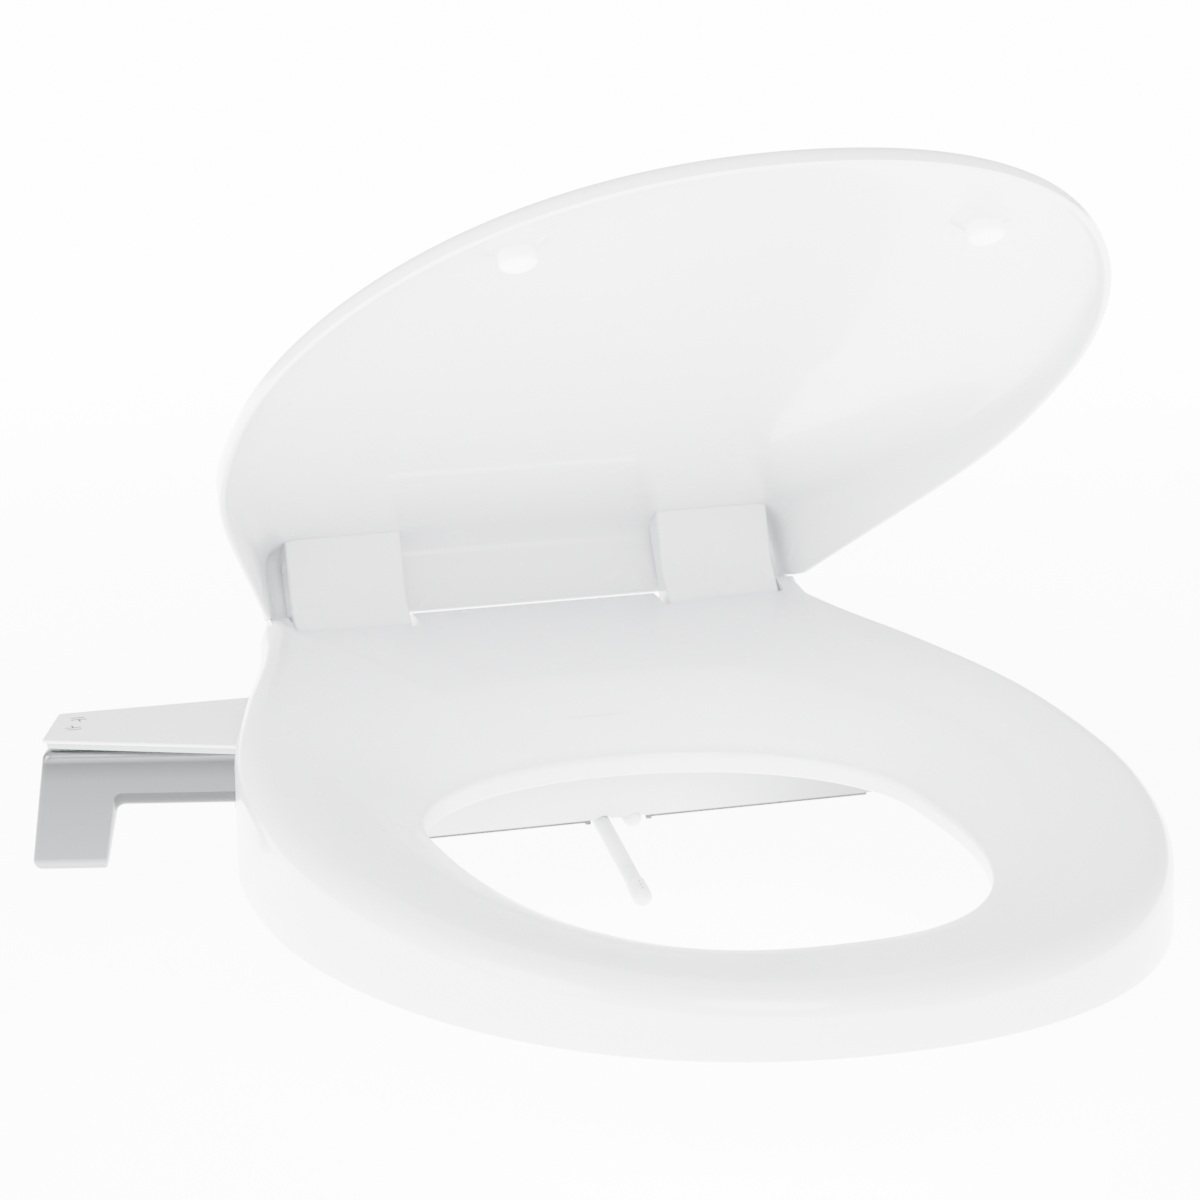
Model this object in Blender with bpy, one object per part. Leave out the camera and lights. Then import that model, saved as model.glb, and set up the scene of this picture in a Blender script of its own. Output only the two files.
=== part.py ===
"""A bidet seat with a hand lever: a base unit with two wash nozzles, a seat ring and a lid.

Metres, +Z up. z = 0 is the rim of the bowl that the base is fixed to. X runs across the
bowl and -Y runs to the front. The lid stands open; the rear-wash nozzle is drawn out.
"""

import math

import bmesh
import bpy
from mathutils import Vector

GAP = 0.0003  # between neighbours that touch

# Hinge line, shared by the lid and the seat
HINGE_Y = -0.006
HINGE_Z = 0.069
PIN_R = 0.0022
ARM_INNER_X = 0.0628  # a lid arm runs from here
ARM_OUTER_X = 0.1165  # to here
ARM_BARREL_R = 0.012
NOTCH_INNER_X = 0.0590
NOTCH_OUTER_X = 0.1183
NOTCH_FRONT_Y = HINGE_Y - 0.0132
KNUCKLE_R = 0.0085
EAR_R = 0.0138
EAR_OUTER_X = 0.1272
POST_INNER_X = 0.0440
POST_OUTER_X = 0.0545
POST_R = 0.0040
DAMPER_R = 0.0055
DAMPER_STUB_R = 0.0035
DAMPER_INNER_X = 0.0783
DAMPER_END_X = 0.1245

# Seat ring outline; its left half is the mirror image of the right one
SEAT_HALF_WIDTH = 0.185
SEAT_FRONT_Y = -0.468
SEAT_WIDEST_Y = -0.2395
SEAT_REAR_HALF_WIDTH = 0.1297
EAR_REAR_Y = 0.0085
TONGUE_REAR_Y = 0.0040
REAR_TAPER = 0.30  # angle of the sides at the rear, radians
FRONT_HANDLE = 0.142  # lengths of the outline's curve handles
SIDE_HANDLE_FRONT = 0.079
SIDE_HANDLE_REAR = 0.099
REAR_HANDLE = 0.1366

# Opening in the ring, a superellipse
OPENING_HALF_WIDTH = 0.1125
OPENING_CENTRE_Y = -0.2235
OPENING_FRONT = 0.1845
OPENING_REAR = 0.1005
OPENING_POWER = 2.3

# Seat heights
SKIRT_BOTTOM = 0.0095
SKIRT_RISE_FRONT_Y = -0.165  # the skirt's foot climbs from here
SKIRT_RISE_REAR_Y = -0.128  # to here, over the base's side housings
SKIRT_BOTTOM_REAR = 0.0575
SKIRT_BOTTOM_EAR = HINGE_Z - 0.0023
CREST_FRONT = 0.0358
CREST_SLOPE = 0.095
EAR_RISE = 0.0035
TONGUE_DIP = 0.0010
EDGE_FRONT = 0.0295  # the opening's upper edge, front, sides and rear
EDGE_SIDE = 0.0410
EDGE_REAR = 0.0330
EDGE_WALL = 0.0080
SEAT_WALL = 0.0032
SHOULDER = 0.020
EAR_SHOULDER = 0.0140
TONGUE_SHOULDER = 0.0055
SLOPE_BAND = 0.036
SLOPE_BAND_FRONT = 0.014
CREST_SHARE_REAR = 0.33  # part of the drop to the opening that the flat top takes
CREST_SHARE_FRONT = 0.60
FOOT_TOP = 0.0120
FOOT_R = 0.0075
FEET = {  # x, y and the height at which each foot's boss ends inside the ring's wall
    "front_left": (-0.070, -0.400, 0.0312),
    "front_right": (0.070, -0.400, 0.0312),
    "rear_left": (-0.152, -0.172, 0.0560),
    "rear_right": (0.152, -0.172, 0.0560),
}

# Lid, in its own frame: x across, u from the hinge line to the front, w out of its inner face
LID_OPEN = 0.5705  # angle above the horizontal, radians
LID_SCALE_X = 0.9846
LID_SCALE_U = 0.9754
LID_SHIFT_U = 0.0026
LID_REAR_U = -0.0060
LID_REAR_HALF_WIDTH = 0.1280
LID_RIM_W = 0.0097
LID_LIP_R = 0.0158  # the lid's rear lip passes the seat's ears at this radius
LID_WALL = 0.003
LID_DEPTH_FRONT = 0.0165
LID_DEPTH_REAR = 0.0400
LID_DEPTH_FALL = 0.13
LID_DOME_POWER = 4.5
LID_CENTRE_U = 0.21
LID_RINGS = (1.0, 0.993, 0.978, 0.955, 0.92, 0.86, 0.76, 0.60, 0.40, 0.20, 0.08)
ARM_BEND = (0.0104, 0.0195)
ARM_TOP_U = 0.0183
LID_BUMPER_X = 0.0957
LID_BUMPER_U = 0.374
LID_BUMPER_R = 0.0075
LID_BUMPER_TIP_W = 0.0135

# Base unit
BRACKET_T = 0.0025
BRACKET_HALF_WIDTH = 0.100
BRACKET_FRONT_Y = -0.052
BRACKET_REAR_Y = 0.004
BOLT_SLOT_X = 0.0775
TRAY_Z = BRACKET_T + GAP
TRAY_T = 0.0027
COVER_T = 0.0024
BASE_HALF_WIDTH = 0.130
BASE_FRONT_Y = -0.0922
BASE_REAR_Y = 0.006
PANEL_Y = -0.0950
PANEL_T = BASE_FRONT_Y - GAP - PANEL_Y
PANEL_LEFT_X = -0.1245
PANEL_RIGHT_X = 0.1300
PANEL_BOTTOM = -0.0010
PANEL_TOP = 0.0470
GASKET_H = 0.0012
MOUTH_LEFT_X = -0.0030  # the nozzles pass under the panel here
MOUTH_RIGHT_X = 0.0242
MOUTH_TOP = 0.0020
HOUSING_LEFT_X = -0.152
HOUSING_FRONT_Y = -0.118
HOUSING_REAR_Y = -0.030
HOUSING_TOP = 0.0500

# Wash nozzles: a is the distance behind the panel along their shared slope
NOZZLE_TILT = math.radians(18.0)
NOZZLE_Z = -0.0045
NOZZLE_R = 0.0037
NOZZLE_HEAD_R = 0.0048
NOZZLE_HEAD = 0.018
NOZZLE_LENGTH = 0.096
NOZZLE_OUT = 0.066
NOZZLE_IN = 0.004
REAR_NOZZLE_X = 0.0032
FRONT_NOZZLE_X = 0.0180
SPRAY_R = 0.0006
SPRAY_FIRST = NOZZLE_HEAD - 0.0055
SPRAY_STEP = 0.0032
GUIDE_START = 0.022
GUIDE_END = 0.058
GUIDE_LOW = 0.0058  # the guide block's reach below and above the nozzles' axis
GUIDE_HIGH = 0.0065

# Water inlet and quick-release button, on the base's right side
INLET = Vector((BASE_HALF_WIDTH + 0.0005, -0.055, 0.022))
FITTING_R = 0.0068
FITTING_BORE_R = 0.0036
SUPPLY_Z = 0.038  # height of the supply tube inside the base
BUTTON = Vector((BASE_HALF_WIDTH, -0.022, 0.018))
SPRING_R = 0.0030
SPRING_WIRE_R = 0.0004

# Lever, on a shaft that runs 17 degrees off the X direction
LEVER_ROOT = Vector((-0.1580, -0.0944, 0.0355))
LEVER_SLANT = math.radians(16.9)
LEVER_LENGTH = 0.099
LEVER_T = 0.013
LEVER_HALF_HEIGHT = 0.0125
PADDLE_WIDTH = 0.034
PADDLE_BOTTOM = -0.0045
LEVER_EDGE_R = 0.0030
SHAFT_R = 0.0055
SOCKET_DEPTH = 0.020
LEVER_COVER_Z = HOUSING_TOP + GAP
LEVER_COVER_T = 0.0036

FINISHES = {
    "white_gloss": ((0.86, 0.87, 0.88), 0.12, 0.0),
    "white_satin": ((0.80, 0.81, 0.82), 0.35, 0.0),
    "grey_plastic": ((0.35, 0.36, 0.37), 0.5, 0.0),
    "soft_white": ((0.90, 0.90, 0.89), 0.6, 0.0),
    "rubber": ((0.05, 0.05, 0.055), 0.8, 0.0),
    "satin_metal": ((0.55, 0.57, 0.58), 0.32, 0.85),
    "steel": ((0.60, 0.60, 0.61), 0.25, 1.0),
    "brass": ((0.55, 0.50, 0.38), 0.3, 1.0),
    "clear_tube": ((0.75, 0.78, 0.80), 0.3, 0.0),
    "icon_grey": ((0.12, 0.12, 0.13), 0.5, 0.0),
}


# ---------------------------------------------------------------- tools


def clear_scene():
    for item in list(bpy.data.objects):
        bpy.data.objects.remove(item, do_unlink=True)


def finish(name):
    """The material of that name, made when it is first asked for."""
    made = bpy.data.materials.get(name)
    if made:
        return made
    colour, roughness, metallic = FINISHES[name]
    made = bpy.data.materials.new(name)
    made.use_nodes = True
    shader = made.node_tree.nodes["Principled BSDF"]
    shader.inputs["Base Color"].default_value = (*colour, 1.0)
    shader.inputs["Roughness"].default_value = roughness
    shader.inputs["Metallic"].default_value = metallic
    return made


def add_object(name, mesh, slot):
    made = bpy.data.objects.new(name, mesh)
    bpy.context.scene.collection.objects.link(made)
    mesh.materials.append(finish(slot))
    return made


def add_cutter(name, mesh):
    made = bpy.data.objects.new(name, mesh)
    bpy.context.scene.collection.objects.link(made)
    made.hide_render = True
    made.display_type = "WIRE"
    return made


def mesh_from(name, points, faces):
    mesh = bpy.data.meshes.new(name)
    mesh.from_pydata([tuple(p) for p in points], [], faces)
    work = bmesh.new()
    work.from_mesh(mesh)
    bmesh.ops.recalc_face_normals(work, faces=work.faces)
    work.to_mesh(mesh)
    work.free()
    mesh.update()
    return mesh


def loft(name, rings, closed=False):
    """A skin through rings of equal length: capped at both ends, or closed to a loop."""
    count = len(rings[0])
    points = [p for ring in rings for p in ring]
    faces = []
    spans = len(rings) if closed else len(rings) - 1
    for i in range(spans):
        a = i * count
        b = ((i + 1) % len(rings)) * count
        for j in range(count):
            k = (j + 1) % count
            faces.append((a + j, a + k, b + k, b + j))
    if not closed:
        last = (len(rings) - 1) * count
        faces.append(tuple(range(count)))
        faces.append(tuple(last + j for j in reversed(range(count))))
    return mesh_from(name, points, faces)


def circle(radius, centre, axis, steps):
    axis = Vector(axis).normalized()
    side = axis.orthogonal().normalized()
    up = axis.cross(side)
    centre = Vector(centre)
    angles = [2 * math.pi * i / steps for i in range(steps)]
    return [centre + radius * (math.cos(a) * side + math.sin(a) * up) for a in angles]


def turned(name, stations, origin, axis, steps=20):
    """A solid of revolution from (distance along the axis, radius) stations."""
    axis = Vector(axis).normalized()
    origin = Vector(origin)
    return loft(name, [circle(r, origin + axis * d, axis, steps) for d, r in stations])


def ring_solid(name, outer, inner, origin, axis, steps=20):
    """A turned wall with a bore; both profiles are (distance, radius) stations."""
    axis = Vector(axis).normalized()
    origin = Vector(origin)
    stations = list(outer) + list(reversed(inner))
    rings = [circle(r, origin + axis * d, axis, steps) for d, r in stations]
    return loft(name, rings, closed=True)


def box(name, low, high):
    corners = [(low[0], low[1]), (high[0], low[1]), (high[0], high[1]), (low[0], high[1])]
    return plan_prism(name, corners, low[2], high[2])


def plan_prism(name, outline, z0, z1):
    """An outline of (x, y) points drawn up along Z."""
    return loft(name, [[Vector((x, y, z)) for x, y in outline] for z in (z0, z1)])


def prism(name, outline, x0, x1):
    """An outline of (y, z) points drawn out along X."""
    return loft(name, [[Vector((x, y, z)) for y, z in outline] for x in (x0, x1)])


def boolean(item, tool, operation="DIFFERENCE"):
    step = item.modifiers.new("cut_" + tool.name, "BOOLEAN")
    step.object = tool
    step.operation = operation
    step.solver = "EXACT"


def bevel(item, width, segments=2):
    step = item.modifiers.new("bevel", "BEVEL")
    step.width = width
    step.segments = segments
    step.limit_method = "ANGLE"
    step.angle_limit = math.radians(40)


def smooth(item, angle=35.0):
    item.data.shade_smooth()
    item.data.set_sharp_from_angle(angle=math.radians(angle))


def set_origin(item, point):
    """Moves the object's origin onto a point of its joint axis."""
    point = Vector(point)
    for v in item.data.vertices:
        v.co -= point
    item.location = point


def smoothstep(low, high, value):
    t = min(max((value - low) / (high - low), 0.0), 1.0)
    return t * t * (3 - 2 * t)


def bezier(p0, p1, p2, p3, steps):
    """Points of a cubic curve, without its last one."""
    points = []
    for i in range(steps):
        t = i / steps
        a, b, c, d = (1 - t) ** 3, 3 * t * (1 - t) ** 2, 3 * t * t * (1 - t), t**3
        points.append(tuple(a * p0[k] + b * p1[k] + c * p2[k] + d * p3[k] for k in (0, 1)))
    return points


def sides():
    return (("left", -1), ("right", 1))


def span(sign, near, far):
    """Two |x| distances as a rising pair on the side of that sign."""
    return sorted((sign * near, sign * far))


# ---------------------------------------------------------------- outlines


def half_outline(steps=12):
    """The seat's right side from the front tip to just before the rear corner."""
    a, w = SEAT_HALF_WIDTH, SEAT_REAR_HALF_WIDTH
    nose = bezier(
        (0, SEAT_FRONT_Y),
        (FRONT_HANDLE, SEAT_FRONT_Y),
        (a, SEAT_WIDEST_Y - SIDE_HANDLE_FRONT),
        (a, SEAT_WIDEST_Y),
        steps,
    )
    flank = bezier(
        (a, SEAT_WIDEST_Y),
        (a, SEAT_WIDEST_Y + SIDE_HANDLE_REAR),
        (w + REAR_HANDLE * math.sin(REAR_TAPER), -REAR_HANDLE * math.cos(REAR_TAPER)),
        (w, 0),
        steps,
    )
    return nose + flank


def round_corner(points, corner, radius, steps=4):
    """Ends the half outline with an arc into the straight rear edge."""
    at = Vector(corner)
    first = at + (Vector(points[-1]) - at).normalized() * radius
    second = at + Vector((-1, 0)) * radius
    arc = []
    for i in range(steps + 1):
        t = i / steps
        p = (1 - t) ** 2 * first + 2 * t * (1 - t) * at + t * t * second
        arc.append((p.x, p.y))
    return points + arc


def close_outline(half, rear):
    """The right half, the rear edge from right to left, and the mirrored half."""
    return half + rear + [(-x, y) for x, y in reversed(half[1:])]


def inset(outline, distance):
    """The outline moved inwards along its own normals."""
    moved = []
    count = len(outline)
    for i, p in enumerate(outline):
        before, after = Vector(outline[i - 1]), Vector(outline[(i + 1) % count])
        along = (after - before).normalized()
        moved.append((p[0] - along.y * distance, p[1] + along.x * distance))
    return moved


# ---------------------------------------------------------------- seat


def opening_radius(angle):
    """Distance from the opening's centre to its edge."""
    c, s = abs(math.cos(angle)), abs(math.sin(angle))
    reach = OPENING_FRONT if math.sin(angle) < 0 else OPENING_REAR
    n = OPENING_POWER
    return ((c / OPENING_HALF_WIDTH) ** n + (s / reach) ** n) ** (-1 / n)


def ear_share(x, y):
    return smoothstep(0.100, 0.118, abs(x)) * smoothstep(-0.030, -0.004, y)


def crest_height(x, y):
    """Height of the ring's flat top along its outer side."""
    line = CREST_FRONT + CREST_SLOPE * (min(y, 0) - SEAT_FRONT_Y)
    tongue = (1 - smoothstep(0.095, 0.115, abs(x))) * smoothstep(-0.05, -0.01, y)
    return line + EAR_RISE * ear_share(x, y) - TONGUE_DIP * tongue


def edge_height(angle):
    """Height of the opening's upper edge."""
    s = math.sin(angle)
    end = EDGE_FRONT if s < 0 else EDGE_REAR
    return EDGE_SIDE + (end - EDGE_SIDE) * s * s


def skirt_foot(y):
    rise = smoothstep(SKIRT_RISE_FRONT_Y, SKIRT_RISE_REAR_Y, y)
    low = SKIRT_BOTTOM + (SKIRT_BOTTOM_REAR - SKIRT_BOTTOM) * rise
    return low + (SKIRT_BOTTOM_EAR - SKIRT_BOTTOM_REAR) * smoothstep(-0.03, -0.006, y)


def shoulder_radius(x, y):
    side = SHOULDER + (EAR_SHOULDER - SHOULDER) * smoothstep(-0.08, -0.01, y)
    tongue = (1 - smoothstep(0.066, 0.075, abs(x))) * smoothstep(-0.01, 0.0, y)
    return side + (TONGUE_SHOULDER - side) * tongue


def seat_section(outer):
    """One closed section of the ring's wall: up the outside, over the top and back."""
    out = Vector(outer)
    angle = math.atan2(out.y - OPENING_CENTRE_Y, out.x)
    reach = opening_radius(angle)
    into = Vector((reach * math.cos(angle), OPENING_CENTRE_Y + reach * math.sin(angle)))
    width = (into - out).length
    step = (into - out) / width
    shoulder = shoulder_radius(*outer)
    crest = crest_height(*outer)
    edge = edge_height(angle)
    forward = max(0.0, -math.sin(angle)) ** 2
    band = SLOPE_BAND + (SLOPE_BAND_FRONT - SLOPE_BAND) * forward
    share = CREST_SHARE_REAR + (CREST_SHARE_FRONT - CREST_SHARE_REAR) * forward
    flat = width - shoulder - band

    def top(s):
        """Height of the upper surface at distance s from the outline."""
        rounding = max(0.0, 1 - s / shoulder)
        drop = shoulder * (1 - math.sqrt(1 - rounding**2))
        along = min(max((s - shoulder * 0.5) / (flat + shoulder * 0.5), 0.0), 1.0)
        into_slope = min(max(1 - (width - s) / band, 0.0), 1.0)
        fall = share * along**1.6 + (1 - share) * into_slope**1.35
        ear = EAR_RISE * ear_share(*outer) * smoothstep(0.010, 0.028, s)
        return crest - drop - ear - (crest - ear - edge) * fall

    def at(s, z):
        p = out + step * s
        return Vector((p.x, p.y, z))

    low = skirt_foot(out.y)
    spring = crest - shoulder  # where the shoulder's arc starts
    start = 0.0
    if low > spring:
        start = shoulder * (1 - math.sqrt(max(0.0, 1 - ((low - spring) / shoulder) ** 2)))
    wall = SEAT_WALL
    foot_in = start + wall
    outside = [at(start, low)]
    arc = [start + (shoulder - start) * (1 - math.cos(math.radians(a))) for a in (18, 38, 60, 88)]
    outside += [at(start + 0.0002, max(spring + 0.0005, low + 0.0005))]
    outside += [at(s, max(top(s), low + 0.001)) for s in arc]
    flats = [shoulder + flat * t for t in (0.33, 0.66, 1.0)]
    slope = [width - band * t for t in (0.8, 0.55, 0.3, 0.1)]
    outside += [at(s, top(s)) for s in flats + slope]
    outside += [at(width - 0.0006, edge - 0.0012), at(width, edge - 0.0030)]
    outside += [at(width, edge - EDGE_WALL)]

    inside = [at(width - wall, edge - EDGE_WALL)]
    inside += [at(width - wall, edge - 0.0052)]
    under = [shoulder + (flat + band - wall - 0.001) * t for t in (0.93, 0.8, 0.66, 0.5, 0.25, 0.0)]
    inside += [at(s, max(top(s) - wall * 1.35, edge - 0.0050)) for s in under]
    inner_arc = [foot_in + (shoulder - foot_in) * t for t in (0.55, 0.2)]
    floor = max(low, spring) + 0.001
    inside += [at(s, max(top(s) - wall * 1.5, floor)) for s in inner_arc]
    inside += [at(foot_in, floor), at(foot_in, low)]
    return outside + inside


def seat_outline():
    half = round_corner(half_outline(), (SEAT_REAR_HALF_WIDTH, EAR_REAR_Y), 0.008)
    half.append((NOTCH_OUTER_X - 0.003, EAR_REAR_Y))
    xs = [0.098, 0.080, 0.066, 0.057, 0.045, 0.030, 0.015]
    rear = [(x, TONGUE_REAR_Y) for x in xs] + [(0, TONGUE_REAR_Y)]
    rear += [(-x, TONGUE_REAR_Y) for x in reversed(xs)]
    return close_outline(half, rear)


def knuckle_outline(radius):
    """A knuckle round the hinge line with its root forward and up, as (y, z)."""
    turn = [math.radians(a) for a in range(0, 216, 18)]
    arc = [(HINGE_Y + radius * math.sin(a), HINGE_Z + radius * math.cos(a)) for a in turn]
    return arc + [(NOTCH_FRONT_Y - 0.003, HINGE_Z - 0.008), (NOTCH_FRONT_Y - 0.003, HINGE_Z + 0.0055)]


def build_seat():
    sections = [seat_section(p) for p in seat_outline()]
    shell = add_object("seat_shell", loft("seat_shell", sections, closed=True), "white_gloss")
    for side, sign in sides():
        low, high = span(sign, NOTCH_INNER_X, NOTCH_OUTER_X)
        notch = box("notch_" + side, (low, NOTCH_FRONT_Y, 0.0), (high, 0.03, 0.12))
        boolean(shell, add_cutter("notch_" + side, notch))
    for side, sign in sides():
        low, high = span(sign, NOTCH_INNER_X - 0.0035, NOTCH_INNER_X - 0.0002)
        inner = prism("knuckle_inner_" + side, knuckle_outline(KNUCKLE_R), low, high)
        boolean(shell, add_cutter("knuckle_inner_" + side, inner), "UNION")
        low, high = span(sign, NOTCH_OUTER_X + 0.0002, EAR_OUTER_X)
        outer = prism("knuckle_outer_" + side, knuckle_outline(EAR_R), low, high)
        boolean(shell, add_cutter("knuckle_outer_" + side, outer), "UNION")
        low, high = span(sign, NOTCH_INNER_X - 0.0030, NOTCH_OUTER_X + 0.002)
        wall = box(
            "notch_wall_" + side,
            (low, NOTCH_FRONT_Y - 0.0035, HINGE_Z - 0.0075),
            (high, NOTCH_FRONT_Y - 0.0002, crest_height(0.08, 0) - 0.005),
        )
        boolean(shell, add_cutter("notch_wall_" + side, wall), "UNION")
        bore = turned(
            "pin_bore_" + side,
            [(0, PIN_R + GAP), (0.0065, PIN_R + GAP)],
            (sign * (NOTCH_INNER_X - 0.005), HINGE_Y, HINGE_Z),
            (sign, 0, 0),
            16,
        )
        boolean(shell, add_cutter("pin_bore_" + side, bore))
        socket_depth = DAMPER_END_X + GAP - NOTCH_OUTER_X + 0.001
        socket = turned(
            "stub_bore_" + side,
            [(0, DAMPER_STUB_R + GAP), (socket_depth, DAMPER_STUB_R + GAP)],
            (sign * (NOTCH_OUTER_X - 0.001), HINGE_Y, HINGE_Z),
            (sign, 0, 0),
            16,
        )
        boolean(shell, add_cutter("stub_bore_" + side, socket))
    for place, (x, y, top) in FEET.items():
        add_foot(shell, place, x, y, top)
    smooth(shell)
    set_origin(shell, (0, HINGE_Y, HINGE_Z))
    return shell


def add_foot(shell, place, x, y, top):
    """A boss under the ring, joined to it, and the soft foot below the boss."""
    boss = turned(
        "foot_boss_" + place,
        [(0, FOOT_R + 0.0005), (top - FOOT_TOP, FOOT_R + 0.0015)],
        (x, y, FOOT_TOP),
        (0, 0, 1),
        16,
    )
    boolean(shell, add_cutter("foot_boss_" + place, boss), "UNION")
    stations = [(0, FOOT_R - 0.0015), (0.0015, FOOT_R), (FOOT_TOP - GAP, FOOT_R - 0.0008)]
    foot = turned("seat_foot_" + place, stations, (x, y, 0), (0, 0, 1))
    item = add_object("seat_foot_" + place, foot, "soft_white")
    smooth(item)
    set_origin(item, (0, HINGE_Y, HINGE_Z))


# ---------------------------------------------------------------- lid


def lid_place(x, u, w):
    """A point of the lid's own frame, in the world, with the lid open."""
    c, s = math.cos(LID_OPEN), math.sin(LID_OPEN)
    return Vector((x, HINGE_Y - c * u + s * w, HINGE_Z + s * u + c * w))


def lid_outline():
    half = [(x * LID_SCALE_X, LID_SHIFT_U - y * LID_SCALE_U) for x, y in half_outline()]
    half = round_corner(half, (LID_REAR_HALF_WIDTH, LID_REAR_U), 0.007)
    x1 = half[-1][0]
    rear = [(x1 * t, LID_REAR_U) for t in (0.7, 0.35, 0.0, -0.35, -0.7)]
    return close_outline(half, rear)


def lid_depth(u):
    return LID_DEPTH_FRONT + (LID_DEPTH_REAR - LID_DEPTH_FRONT) * math.exp(-u / LID_DEPTH_FALL)


def rim_height(u):
    return max(LID_RIM_W, math.sqrt(max(LID_LIP_R**2 - u * u, 0.0)))


def lid_surface(outline, r, extra):
    """One ring of the lid's skin: r is 1 at the rim and falls to 0 at the middle."""
    ring = []
    for x, u in outline:
        px, pu = x * r, LID_CENTRE_U + (u - LID_CENTRE_U) * r
        dome = (1 - r**LID_DOME_POWER) ** (1 / LID_DOME_POWER)
        w = LID_RIM_W + (lid_depth(pu) + extra) * dome
        ring.append((px, pu, max(w, rim_height(u))))
    return ring


def lid_floor(x, u):
    """Height of the lid's inner face above the hinge plane."""
    outline = inset(lid_outline(), -LID_WALL)
    d = Vector((x, u - LID_CENTRE_U))
    r = 1.0
    for i, p in enumerate(outline):
        a = Vector((p[0], p[1] - LID_CENTRE_U))
        b = Vector((outline[i - 1][0], outline[i - 1][1] - LID_CENTRE_U))
        edge = b - a
        cross = d.x * edge.y - d.y * edge.x
        if abs(cross) < 1e-12:
            continue
        k = (a.x * edge.y - a.y * edge.x) / cross
        t = (a.x * d.y - a.y * d.x) / cross
        if k > 0 and 0 <= t <= 1:
            r = 1 / k
    r = min(r, 1.0)
    dome = (1 - r**LID_DOME_POWER) ** (1 / LID_DOME_POWER)
    return LID_RIM_W + lid_depth(u) * dome


def build_lid():
    outer = lid_outline()
    inner = inset(outer, -LID_WALL)
    rings = [lid_surface(outer, r, LID_WALL) for r in reversed(LID_RINGS)]
    rings += [lid_surface(inner, r, 0.0) for r in LID_RINGS]
    placed = [[lid_place(*p) for p in ring] for ring in rings]
    shell = add_object("lid_shell", loft("lid_shell", placed), "white_gloss")
    smooth(shell)
    set_origin(shell, (0, HINGE_Y, HINGE_Z))
    for side, sign in sides():
        add_arm(side, sign)
        add_lid_bumper(side, sign)


def arm_profile(x):
    """Side view of a hinge arm at that |x|, as (u, w): its barrel, front face and top."""
    floor = [(u, lid_floor(x, u) - 2 * GAP) for u in (ARM_TOP_U, 0.012, 0.006, 0.002)]
    front = [(ARM_BARREL_R, 0.0), ARM_BEND]
    rear = [(-0.0012, 0.0205), (-0.0014, 0.0172)]
    turn = [math.radians(a) for a in range(110, 351, 20)]
    barrel = [(ARM_BARREL_R * math.cos(a), ARM_BARREL_R * math.sin(a)) for a in turn]
    return front + floor + rear + barrel


def add_arm(side, sign):
    """A hinge arm: it hangs from the lid's inner face and turns on the hinge line."""
    stations = [ARM_INNER_X, 0.076, 0.090, 0.104, ARM_OUTER_X]
    rings = [[lid_place(sign * x, u, w) for u, w in arm_profile(x)] for x in stations]
    name = "hinge_arm_" + side
    arm = add_object(name, loft(name, rings), "white_gloss")
    bores = {
        "pin": (ARM_INNER_X - 0.001, DAMPER_INNER_X, PIN_R + GAP),
        "damper": (DAMPER_INNER_X - GAP, ARM_OUTER_X + 0.001, DAMPER_R + GAP),
    }
    for part, (near, far, radius) in bores.items():
        label = f"arm_bore_{part}_{side}"
        start = (sign * near, HINGE_Y, HINGE_Z)
        hole = turned(label, [(0, radius), (far - near, radius)], start, (sign, 0, 0), 16)
        boolean(arm, add_cutter(label, hole))
    smooth(arm)
    set_origin(arm, (0, HINGE_Y, HINGE_Z))


def add_lid_bumper(side, sign):
    """A soft domed stop that stands on the lid's inner face."""
    x0, u0 = sign * LID_BUMPER_X, LID_BUMPER_U
    steps = 20
    angles = [2 * math.pi * i / steps for i in range(steps)]
    foot_r = LID_BUMPER_R + 0.002
    root = []
    for a in angles:
        x, u = x0 + foot_r * math.cos(a), u0 + foot_r * math.sin(a)
        root.append((x, u, lid_floor(x, u) - 2 * GAP))
    profile = [
        (LID_BUMPER_R, LID_BUMPER_TIP_W + 0.0065),
        (LID_BUMPER_R, LID_BUMPER_TIP_W + 0.0025),
        (LID_BUMPER_R * 0.72, LID_BUMPER_TIP_W + 0.0006),
        (LID_BUMPER_R * 0.30, LID_BUMPER_TIP_W),
    ]
    rings = [root]
    for r, w in profile:
        rings.append([(x0 + r * math.cos(a), u0 + r * math.sin(a), w) for a in angles])
    placed = [[lid_place(*p) for p in ring] for ring in rings]
    name = "lid_bumper_" + side
    item = add_object(name, loft(name, placed), "soft_white")
    smooth(item)
    set_origin(item, (0, HINGE_Y, HINGE_Z))


def build_hinge():
    for side, sign in sides():
        pin_start = POST_INNER_X - 0.0005
        length = DAMPER_INNER_X - 2 * GAP - pin_start
        pin = turned(
            "hinge_pin_" + side,
            [(0, PIN_R - 0.0004), (0.0004, PIN_R), (length, PIN_R)],
            (sign * pin_start, HINGE_Y, HINGE_Z),
            (sign, 0, 0),
            16,
        )
        smooth(add_object("hinge_pin_" + side, pin, "steel"))
        body = ARM_OUTER_X - 0.0005 - DAMPER_INNER_X
        whole = DAMPER_END_X - DAMPER_INNER_X
        damper = turned(
            "damper_" + side,
            [(0, DAMPER_R), (body, DAMPER_R), (body, DAMPER_STUB_R), (whole, DAMPER_STUB_R)],
            (sign * DAMPER_INNER_X, HINGE_Y, HINGE_Z),
            (sign, 0, 0),
            16,
        )
        item = add_object("damper_" + side, damper, "grey_plastic")
        smooth(item)
        set_origin(item, (0, HINGE_Y, HINGE_Z))


# ---------------------------------------------------------------- base


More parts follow.
